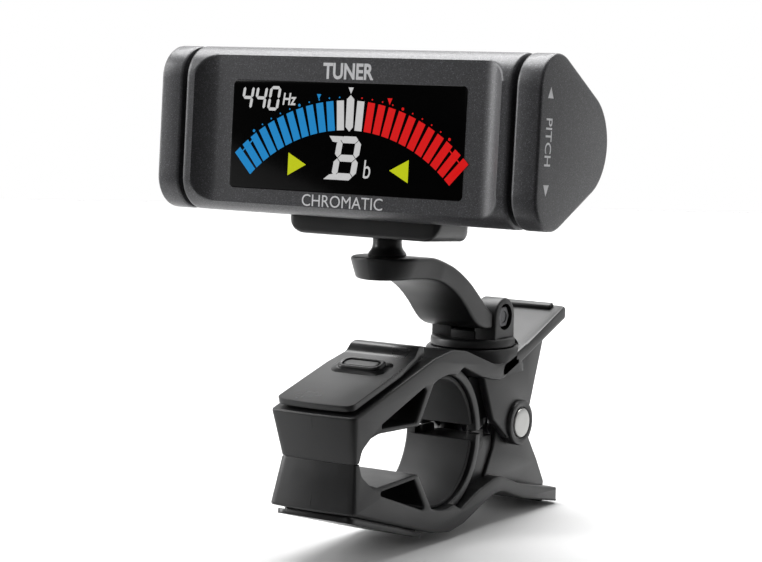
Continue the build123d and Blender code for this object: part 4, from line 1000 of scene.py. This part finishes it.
DOOR_HALF = 24.0
DOOR_GAP = 0.15
DOOR_U = STRIP_END_U + DOOR_GAP
REARWARD = Matrix.Rotation(-math.pi / 2, 4, "X")
rear_parts = []
for side in (-1, 1):
    run = [(side * x, inset) for x, inset in END_EDGE + [(DOOR_HALF + DOOR_GAP, 0.0)]]
    rear_end = loft("rear_end", [section_rear(x, inset, REAR_START_U) for x, inset in run], HEAD)
    access = lathe("access", [(ACCESS_R, 0), (ACCESS_R, 12)], (0, 0, 0), steps=40)
    access.data.transform(HEAD @ Matrix.Translation((side * SCREW_X, 15, 0)) @ REARWARD)
    cut(rear_end, access)
    rear_parts.append(rear_end)
    path = [slope_at(0, REAR_START_U), slope_at(0, STRIP_END_U),
            slope_at(SKIN, STRIP_END_U), slope_at(SKIN, REAR_START_U)]
    strip = [[(x, u, side * v) for u, v in path] for x in (-DOOR_HALF - DOOR_GAP, 0, DOOR_HALF + DOOR_GAP)]
    rear_parts.append(loft("rear_strip", strip, HEAD))
rear_shell = join("rear_shell_skin", rear_parts)
finish(rear_shell, FLAKE, "head", ["rear_shell"], SHELL_SMOOTH)

door = loft("battery_door_skin", [section_rear(x, inset, DOOR_U) for x, inset in (
    (-DOOR_HALF, 0.25), (-DOOR_HALF + 0.08, 0.08), (-DOOR_HALF + 0.25, 0), (0, 0),
    (DOOR_HALF - 0.25, 0), (DOOR_HALF - 0.08, 0.08), (DOOR_HALF, 0.25))], HEAD)
door_parts = [door]
for k in (-2, -1, 0, 1, 2):
    rib_place = HEAD @ Matrix.Translation((0, APEX[0] + APEX[2] - 0.12, 0.9 * k)) @ REARWARD
    door_parts.append(plate("door_rib", [stadium(3.2, 0.28, 0.27)], 0, 0.25, 0.1, rib_place))
door = join("battery_door_panel", door_parts)
finish(door, FLAKE, "door", ["battery_door"], SHELL_SMOOTH)

# ---------------------------------------------------------------- end caps
# The two rocking switches: painted cups that close the head's ends and turn a
# few degrees on stub shafts.

CAP_RUN = [(31.6, 0.4), (31.66, 0.2), (31.85, 0.05), (32.1, 0.0), (35.4, 0.0), (35.63, 0.04), (35.83, 0.16),
           (35.93, 0.34), (35.97, 0.55)]
for side, name, body in ((-1, "left_shuttle", "left_cap"), (1, "right_shuttle", "right_cap")):
    cup = loft(name + "_cup", [section_whole(side * x, inset) for x, inset in CAP_RUN], HEAD)
    finish(cup, FLAKE, body, [name], SHELL_SMOOTH)

# ---------------------------------------------------------------- lens
# Clear polycarbonate window over a dark colour display, printed black behind.
# It stands a hair proud of the floor of the casing's front pocket.

LENS_V = -0.8
GLASS, tree, shader, where = start_material("window", {
    "Base Color": linear("#030303"), "Roughness": 0.16, "IOR": 1.52, "Specular IOR Level": 0.05})
haze = add_node(tree, "ShaderNodeTexNoise", {"Vector": where, "Scale": 1 / (6 * MM), "Detail": 2.0})
smear = add_node(tree, "ShaderNodeMapRange", {"Value": haze.outputs["Fac"], "To Min": 0.13, "To Max": 0.2})
tree.links.new(smear.outputs["Result"], shader.inputs["Roughness"])


def face_place(depth, x=0.0, v=0.0):
    """Plane on the head's front: first axis X, second up, third out of the front."""
    return HEAD @ Matrix.Translation((x, depth, v)) @ Matrix.Rotation(math.pi / 2, 4, "X")


LENS_U = 1.64
lens = mound("lens_window", [(22.2, 8.8, 0.8, -0.9), (22.2, 8.8, 0.8, -0.05), (22.14, 8.74, 0.78, 0.0)],
             face_place(LENS_U, 0.0, LENS_V))
finish(lens, GLASS, "head", ["lens"])


# The read-out: lit segments of the display, drawn as thin flat shapes.
def lit(name, colour, strength):
    """Backlit display segment: flat colour with a faint cell pattern."""
    made, tree, shader, where = start_material(name, {
        "Base Color": linear("#060606"), "Roughness": 0.5, "Specular IOR Level": 0.1,
        "Emission Strength": strength})
    cells = add_node(tree, "ShaderNodeTexNoise", {"Vector": where, "Scale": 1 / (0.2 * MM), "Detail": 0.0})
    tone = add_node(tree, "ShaderNodeMix", {"Factor": cells.outputs["Fac"]}, data_type="RGBA")
    tone.inputs["A"].default_value = linear(colour)
    tone.inputs["B"].default_value = tuple(0.86 * c for c in linear(colour)[:3]) + (1.0,)
    tree.links.new(tone.outputs["Result"], shader.inputs["Emission Color"])
    return made


BLUE = lit("lit_blue", "#1383C4", 1.0)
RED = lit("lit_red", "#D60A0A", 1.0)
WHITE = lit("lit_white", "#C8C8C8", 1.0)
YELLOW = lit("lit_yellow", "#BFC808", 1.0)
DISPLAY = face_place(LENS_U, 0.88, LENS_V)
GLYPH = 0.02


def segment_shape(name, outlines, material, place=None):
    """Thin flat shapes on the display."""
    shapes = [plate(name, [outline], 0.0, GLYPH, 0.0, place or DISPLAY) for outline in outlines]
    made = join(name, shapes)
    finish(made, material, "head", [], 30)
    return made


def fan_tree(name, round_dots):
    """Bars or dots spaced evenly on an arc."""
    tree, entry, leave, sockets = modifier_tree(name, [
        ("Count", "NodeSocketInt", 11), ("Radius", "NodeSocketFloat", 29.2),
        ("First", "NodeSocketFloat", 0.0), ("Step", "NodeSocketFloat", 0.06),
        ("Width", "NodeSocketFloat", 1.3), ("Length", "NodeSocketFloat", 4.6),
        ("Paint", "NodeSocketMaterial", None)])
    index = add_node(tree, "GeometryNodeInputIndex").outputs["Index"]
    turn = add_node(tree, "ShaderNodeMath", {0: index, 1: entry.outputs["Step"], 2: entry.outputs["First"]},
                    operation="MULTIPLY_ADD").outputs[0]
    sine = add_node(tree, "ShaderNodeMath", {0: turn}, operation="SINE").outputs[0]
    cosine = add_node(tree, "ShaderNodeMath", {0: turn}, operation="COSINE").outputs[0]
    across = add_node(tree, "ShaderNodeMath", {0: sine, 1: entry.outputs["Radius"]},
                      operation="MULTIPLY").outputs[0]
    up = add_node(tree, "ShaderNodeMath", {0: cosine, 1: entry.outputs["Radius"]},
                  operation="MULTIPLY").outputs[0]
    spot = add_node(tree, "ShaderNodeCombineXYZ", {"X": across, "Y": up}).outputs[0]
    back = add_node(tree, "ShaderNodeMath", {0: turn, 1: -1.0}, operation="MULTIPLY").outputs[0]
    lean = add_node(tree, "ShaderNodeCombineXYZ", {"Z": back}).outputs[0]
    places = add_node(tree, "GeometryNodePoints", {"Count": entry.outputs["Count"], "Position": spot})
    if round_dots:
        shape = add_node(tree, "GeometryNodeMeshCylinder", {
            "Vertices": 14, "Radius": entry.outputs["Width"], "Depth": GLYPH})
    else:
        size = add_node(tree, "ShaderNodeCombineXYZ", {
            "X": entry.outputs["Width"], "Y": entry.outputs["Length"], "Z": GLYPH})
        shape = add_node(tree, "GeometryNodeMeshCube", {"Size": size.outputs[0]})
    copies = add_node(tree, "GeometryNodeInstanceOnPoints", {
        "Points": places.outputs[0], "Instance": shape.outputs["Mesh"], "Rotation": lean})
    real = add_node(tree, "GeometryNodeRealizeInstances", {"Geometry": copies.outputs["Instances"]})
    painted = add_node(tree, "GeometryNodeSetMaterial", {
        "Geometry": real.outputs["Geometry"], "Material": entry.outputs["Paint"]})
    tree.links.new(painted.outputs["Geometry"], leave.inputs["Geometry"])
    return tree, sockets


FAN_R = 29.2
FAN_STEP = math.radians(3.62)
DOTS_R = FAN_R + 2.85
BAR_WIDTH = 1.34
BAR_LENGTH = 4.7
FAN_PLACE = DISPLAY @ Matrix.Translation((0, 3.65 - FAN_R, GLYPH / 2))
bar_tree, bar_sockets = fan_tree("fan_of_bars", False)
dot_tree, dot_sockets = fan_tree("fan_of_dots", True)


def fan(name, tree, sockets, material, values):
    """One run of bars or dots, as a finished piece."""
    made = grow(name, tree, sockets, dict(values, Paint=material))
    made.data.transform(FAN_PLACE)
    finish(made, material, "head", [], 30)


for side, colour, paint in ((-1, "blue", BLUE), (1, "red", RED)):
    fan(colour + "_bars", bar_tree, bar_sockets, paint, {
        "Count": 11, "Radius": FAN_R, "First": side * 2 * FAN_STEP, "Step": side * FAN_STEP,
        "Width": BAR_WIDTH, "Length": BAR_LENGTH})
    fan(colour + "_dots", dot_tree, dot_sockets, paint, {
        "Count": 10, "Radius": DOTS_R, "First": side * 1.05 * FAN_STEP, "Step": side * FAN_STEP * 0.97,
        "Width": 0.13})
    fan(colour + "_marks", dot_tree, dot_sockets, paint, {
        "Count": 2, "Radius": DOTS_R, "First": side * 4.93 * FAN_STEP, "Step": side * FAN_STEP * 4.85,
        "Width": 0.24})
    fan(colour + "_middle", bar_tree, bar_sockets, WHITE, {
        "Count": 1, "Radius": FAN_R, "First": side * 0.98 * FAN_STEP, "Step": FAN_STEP, "Width": BAR_WIDTH,
        "Length": BAR_LENGTH})


def stroke(points, width):
    """Outline of an open line of that width."""
    left = []
    right = []
    for i, point in enumerate(points):
        here = Vector(point)
        ahead = Vector(points[min(i + 1, len(points) - 1)]) - here
        behind = here - Vector(points[max(i - 1, 0)])
        way = (ahead.normalized() + behind.normalized()).normalized()
        side = Vector((-way.y, way.x)) * (width / 2)
        left.append(tuple(here + side))
        right.append(tuple(here - side))
    return left + right[::-1]


needle = [(-0.72, 1.8), (-0.72, 6.2), (0.0, 6.85), (0.68, 6.2), (0.68, 1.8), (0.0, 1.1)]
segment_shape("needle", [needle, [(-0.5, 8.05), (0.46, 8.05), (0.0, 7.03)]], WHITE)
segment_shape("blue_frame", [stroke([(-18.4, -0.6), (-21.2, -3.3), (-19.2, -5.2)], 0.22),
                             [(-6.5, 6.84), (-5.7, 6.84), (-6.1, 5.97)]], BLUE)
segment_shape("red_frame", [stroke([(18.4, -0.85), (21.2, -3.6), (19.25, -5.4)], 0.22),
                            [(6.9, 6.54), (7.8, 6.54), (7.35, 5.52)]], RED)
segment_shape("pointers", [[(-11.5, -2.67), (-8.0, -4.47), (-11.5, -6.32)],
                           [(11.4, -2.9), (7.9, -4.7), (11.4, -6.49)]], YELLOW)

LEAN = 0.15


def digit(segments, left, low, width, height, thick):
    """Slanted seven-segment figure; segments named a to g clockwise from the top."""
    high = low + height
    middle = low + height / 2
    right = left + width
    gap = 0.07 * thick
    shapes = []
    lines = {"a": ((left, high), (right, high)), "d": ((left, low), (right, low)),
             "g": ((left, middle), (right, middle)),
             "b": ((right, high), (right, middle)), "c": ((right, middle), (right, low)),
             "f": ((left, high), (left, middle)), "e": ((left, middle), (left, low))}
    for name in segments:
        start, end = (Vector(p) for p in lines[name])
        way = (end - start).normalized()
        side = Vector((-way.y, way.x)) * (thick / 2)
        start += way * gap
        end -= way * gap
        inner = way * (thick / 2)
        shape = [start, start + inner + side, end - inner + side, end, end - inner - side,
                 start + inner - side]
        shapes.append([(p.x + LEAN * (p.y - low), p.y) for p in shape])
    return shapes


figures = []
for k, name in enumerate(("fgbc", "fgbc", "abcdef")):
    figures += digit(name, -21.25 + 2.65 * k, 4.2, 1.7, 3.45, 0.5)
segment_shape("pitch_figures", figures, WHITE)
note = digit("abcdefg", -2.45, -6.05, 3.5, 5.85, 1.1)
note += [[(-3.7, 0.3), (-1.0, 0.3), (-1.9, -0.7), (-3.0, -0.6)],
         [(-4.5, -6.6), (-2.0, -6.6), (-2.1, -5.6), (-3.4, -5.8)]]
segment_shape("note_figure", note, WHITE)


def lettering(name, words, height, width, place, material, body, bold=0.0, shear=0.0):
    """Flat printed words, centred, of that size."""
    text = bpy.data.curves.new(name, "FONT")
    text.body = words
    text.align_x = "CENTER"
    text.align_y = "CENTER"
    text.shear = shear
    text.offset = bold
    text.extrude = 0.006
    text.resolution_u = 4
    holder = link_mesh(name + "_text", text)
    mesh = baked(holder)
    bpy.data.objects.remove(holder)
    spots = [v.co for v in mesh.vertices]
    low = Vector([min(s[i] for s in spots) for i in range(3)])
    high = Vector([max(s[i] for s in spots) for i in range(3)])
    mesh.transform(Matrix.Diagonal((width / (high.x - low.x), height / (high.y - low.y), 1.0, 1.0)) @
                   Matrix.Translation(-(low + high) / 2))
    mesh.transform(place)
    made = link_mesh(name, mesh)
    finish(made, material, body, [], 30)


lettering("hertz", "Hz", 1.95, 2.7, DISPLAY @ Matrix.Translation((-11.8, 5.9, GLYPH)), WHITE, "head",
          0.02, 0.15)
lettering("flat_sign", "b", 2.9, 1.35, DISPLAY @ Matrix.Translation((3.7, -4.7, GLYPH)), WHITE, "head",
          0.0, 0.1)

# ---------------------------------------------------------------- lettering
# Pad-printed words in matt white ink on the paint: two on the front, one with
# its two arrows on the right end cap.

INK, tree, shader, where = start_material("white_ink", {"Roughness": 0.55})
cover = add_node(tree, "ShaderNodeTexNoise", {"Vector": where, "Scale": 1 / (0.15 * MM), "Detail": 2.0})
inks = blend_tones(tree, cover.outputs["Fac"], "#C9C9CB", "#E4E4E6")
tree.links.new(inks, shader.inputs["Base Color"])
lettering("name_print", "TUNER", 2.6, 9.6, face_place(FLOOR_U - 0.012, 0.1, 9.75), INK, "head",
          0.03)
lettering("kind_print", "CHROMATIC", 1.9, 15.4, face_place(FLOOR_U - 0.012, 0.1, -10.9), INK, "head")
CAP_FACE = HEAD @ Matrix.Translation((35.982, 2.9, 0)) @ Matrix.Rotation(math.pi / 2, 4, "Y")
lettering("cap_print", "PITCH", 1.9, 7.2, CAP_FACE, INK, "right_cap", 0.01)
arrows = [[(-8.3, 0.0), (-6.6, 0.85), (-6.6, -0.85)], [(8.1, 0.0), (6.4, 0.85), (6.4, -0.85)]]
marks = join("cap_arrows", [plate("arrow", [outline], -0.006, 0.006, 0.0, CAP_FACE) for outline in arrows])
finish(marks, INK, "right_cap", [], 30)

# ---------------------------------------------------------------- inside
# Bought-in pieces: screws, board, display, switches, cell and contacts. They
# keep their shapes from the model and are painted here.


def plain_material(name, colour, other, scale_mm, metallic, roughness):
    """Two close tones in a soft noise."""
    made, tree, shader, where = start_material(name, {"Metallic": metallic, "Roughness": roughness})
    noise = add_node(tree, "ShaderNodeTexNoise", {
        "Vector": where, "Scale": 1 / (scale_mm * MM), "Detail": 3.0})
    tone = blend_tones(tree, noise.outputs["Fac"], colour, other)
    tree.links.new(tone, shader.inputs["Base Color"])
    return made


BOARD = plain_material("solder_mask", "#14532B", "#1C6636", 1.5, 0.0, 0.35)
BEZEL = plain_material("bezel", "#26262A", "#303034", 1.0, 0.0, 0.5)
NICKEL = plain_material("nickel", "#B9B8B0", "#CFCEC6", 0.6, 1.0, 0.3)
SLEEVE = plain_material("cell_sleeve", "#8E9298", "#A4A8AE", 4.0, 0.6, 0.35)
NATURAL = plain_material("natural_acetal", "#C9C9C2", "#D6D6D0", 2.0, 0.0, 0.4)
PAINTS = {"swivel_screw": BLACK_STEEL, "hinge_screw": BLACK_STEEL, "stud_screw": BLACK_STEEL,
          "housing_screws": BLACK_STEEL,
          "case_screws": BLACK_STEEL, "ball_seat": NATURAL, "ball_retainer": NATURAL,
          "display_module": BEZEL,
          "circuit_board": BOARD, "piezo_sensor": NICKEL, "left_switch": BEZEL, "right_switch": BEZEL,
          "battery": SLEEVE,
          "battery_spring": NICKEL, "battery_plate": NICKEL}
for node, paint in PAINTS.items():
    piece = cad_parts[node]
    piece.data.materials.clear()
    piece.data.materials.append(paint)

# ---------------------------------------------------------------- stage
# Camera, pale floor paper and large soft lights. The camera stands a little
# above the piece and to its right, with a long lens.

CAM_AZ = math.radians(33.0)
CAM_EL = math.radians(6.18)
CAM_ROLL = math.radians(1.0)
CAM_SPOT = (194.755, -308.396, 65.821)
CAM_LENS = 103.94
FLOOR_NEAR = -0.05
FLOOR_FAR = 0.75
FLOOR_HALF = 3
forward = Vector((-math.sin(CAM_AZ) * math.cos(CAM_EL), math.cos(CAM_AZ) * math.cos(CAM_EL),
                  -math.sin(CAM_EL)))
level = Vector((math.cos(CAM_AZ), math.sin(CAM_AZ), 0))
upward = level.cross(forward)
right = level * math.cos(CAM_ROLL) + upward * math.sin(CAM_ROLL)
upward = upward * math.cos(CAM_ROLL) - level * math.sin(CAM_ROLL)
camera_data = bpy.data.cameras.new("camera")
camera_data.sensor_width = 36.0
camera_data.lens = CAM_LENS
camera_data.clip_start = 0.01
camera = bpy.data.objects.new("camera", camera_data)
spot = Vector(CAM_SPOT) * MM
camera.matrix_world = Matrix(((right.x, upward.x, -forward.x, spot.x),
                              (right.y, upward.y, -forward.y, spot.y),
                              (right.z, upward.z, -forward.z, spot.z), (0, 0, 0, 1)))
bpy.context.collection.objects.link(camera)
bpy.context.scene.camera = camera

floor_low = start_box[0][2]
away = Vector((-math.sin(CAM_AZ), math.cos(CAM_AZ), 0))
floor_mesh = bpy.data.meshes.new("floor")
floor_corners = []
for side, reach in ((-1, FLOOR_NEAR), (1, FLOOR_NEAR), (1, FLOOR_FAR), (-1, FLOOR_FAR)):
    floor_corners.append(tuple(level * side * FLOOR_HALF + away * reach + Vector((0, 0, floor_low))))
floor_mesh.from_pydata(floor_corners, [], [(0, 1, 2, 3)])
floor = link_mesh("floor", floor_mesh)
PAPER, tree, shader, where = start_material("floor_paper", {
    "Base Color": linear("#CFCFCF"), "Roughness": 0.9})
floor.data.materials.append(PAPER)


def soft_light(name, place, aim, size, power):
    """Square area light."""
    lamp = bpy.data.lights.new(name, "AREA")
    lamp.shape = "RECTANGLE"
    lamp.size, lamp.size_y = size
    lamp.energy = power
    holder = bpy.data.objects.new(name, lamp)
    holder.location = place
    holder.rotation_euler = (Vector(aim) - Vector(place)).to_track_quat("-Z", "Y").to_euler()
    bpy.context.collection.objects.link(holder)


bpy.context.scene.view_settings.view_transform = "Standard"
CENTRE = (0, 0, 0.03)
soft_light("top", (-0.25, 0.25, 0.8), CENTRE, (0.9, 0.7), 17.0)
soft_light("left", (-0.75, -0.35, 0.35), CENTRE, (0.3, 0.6), 6.0)
soft_light("right", (0.7, 0.35, 0.35), CENTRE, (0.3, 0.6), 0.8)
soft_light("front", (0.1, -0.9, 0.5), CENTRE, (0.5, 0.4), 0.5)

# The room is white behind the piece and dim on the viewer's side, which keeps
# black plastic black and draws bright rims along its top edges.
world = bpy.data.worlds.new("studio")
bpy.context.scene.world = world
world.use_nodes = True
sky = world.node_tree
backdrop = sky.nodes["Background"]
heading = add_node(sky, "ShaderNodeTexCoord").outputs["Generated"]
facing = add_node(sky, "ShaderNodeVectorMath", {0: heading, 1: tuple(away)}, operation="DOT_PRODUCT")
glow = add_node(sky, "ShaderNodeMapRange", {
    "Value": facing.outputs["Value"], "From Min": -0.1, "From Max": 0.7, "To Min": 0.14, "To Max": 1.0})
backdrop.inputs["Color"].default_value = (1, 1, 1, 1)
sky.links.new(glow.outputs["Result"], backdrop.inputs["Strength"])
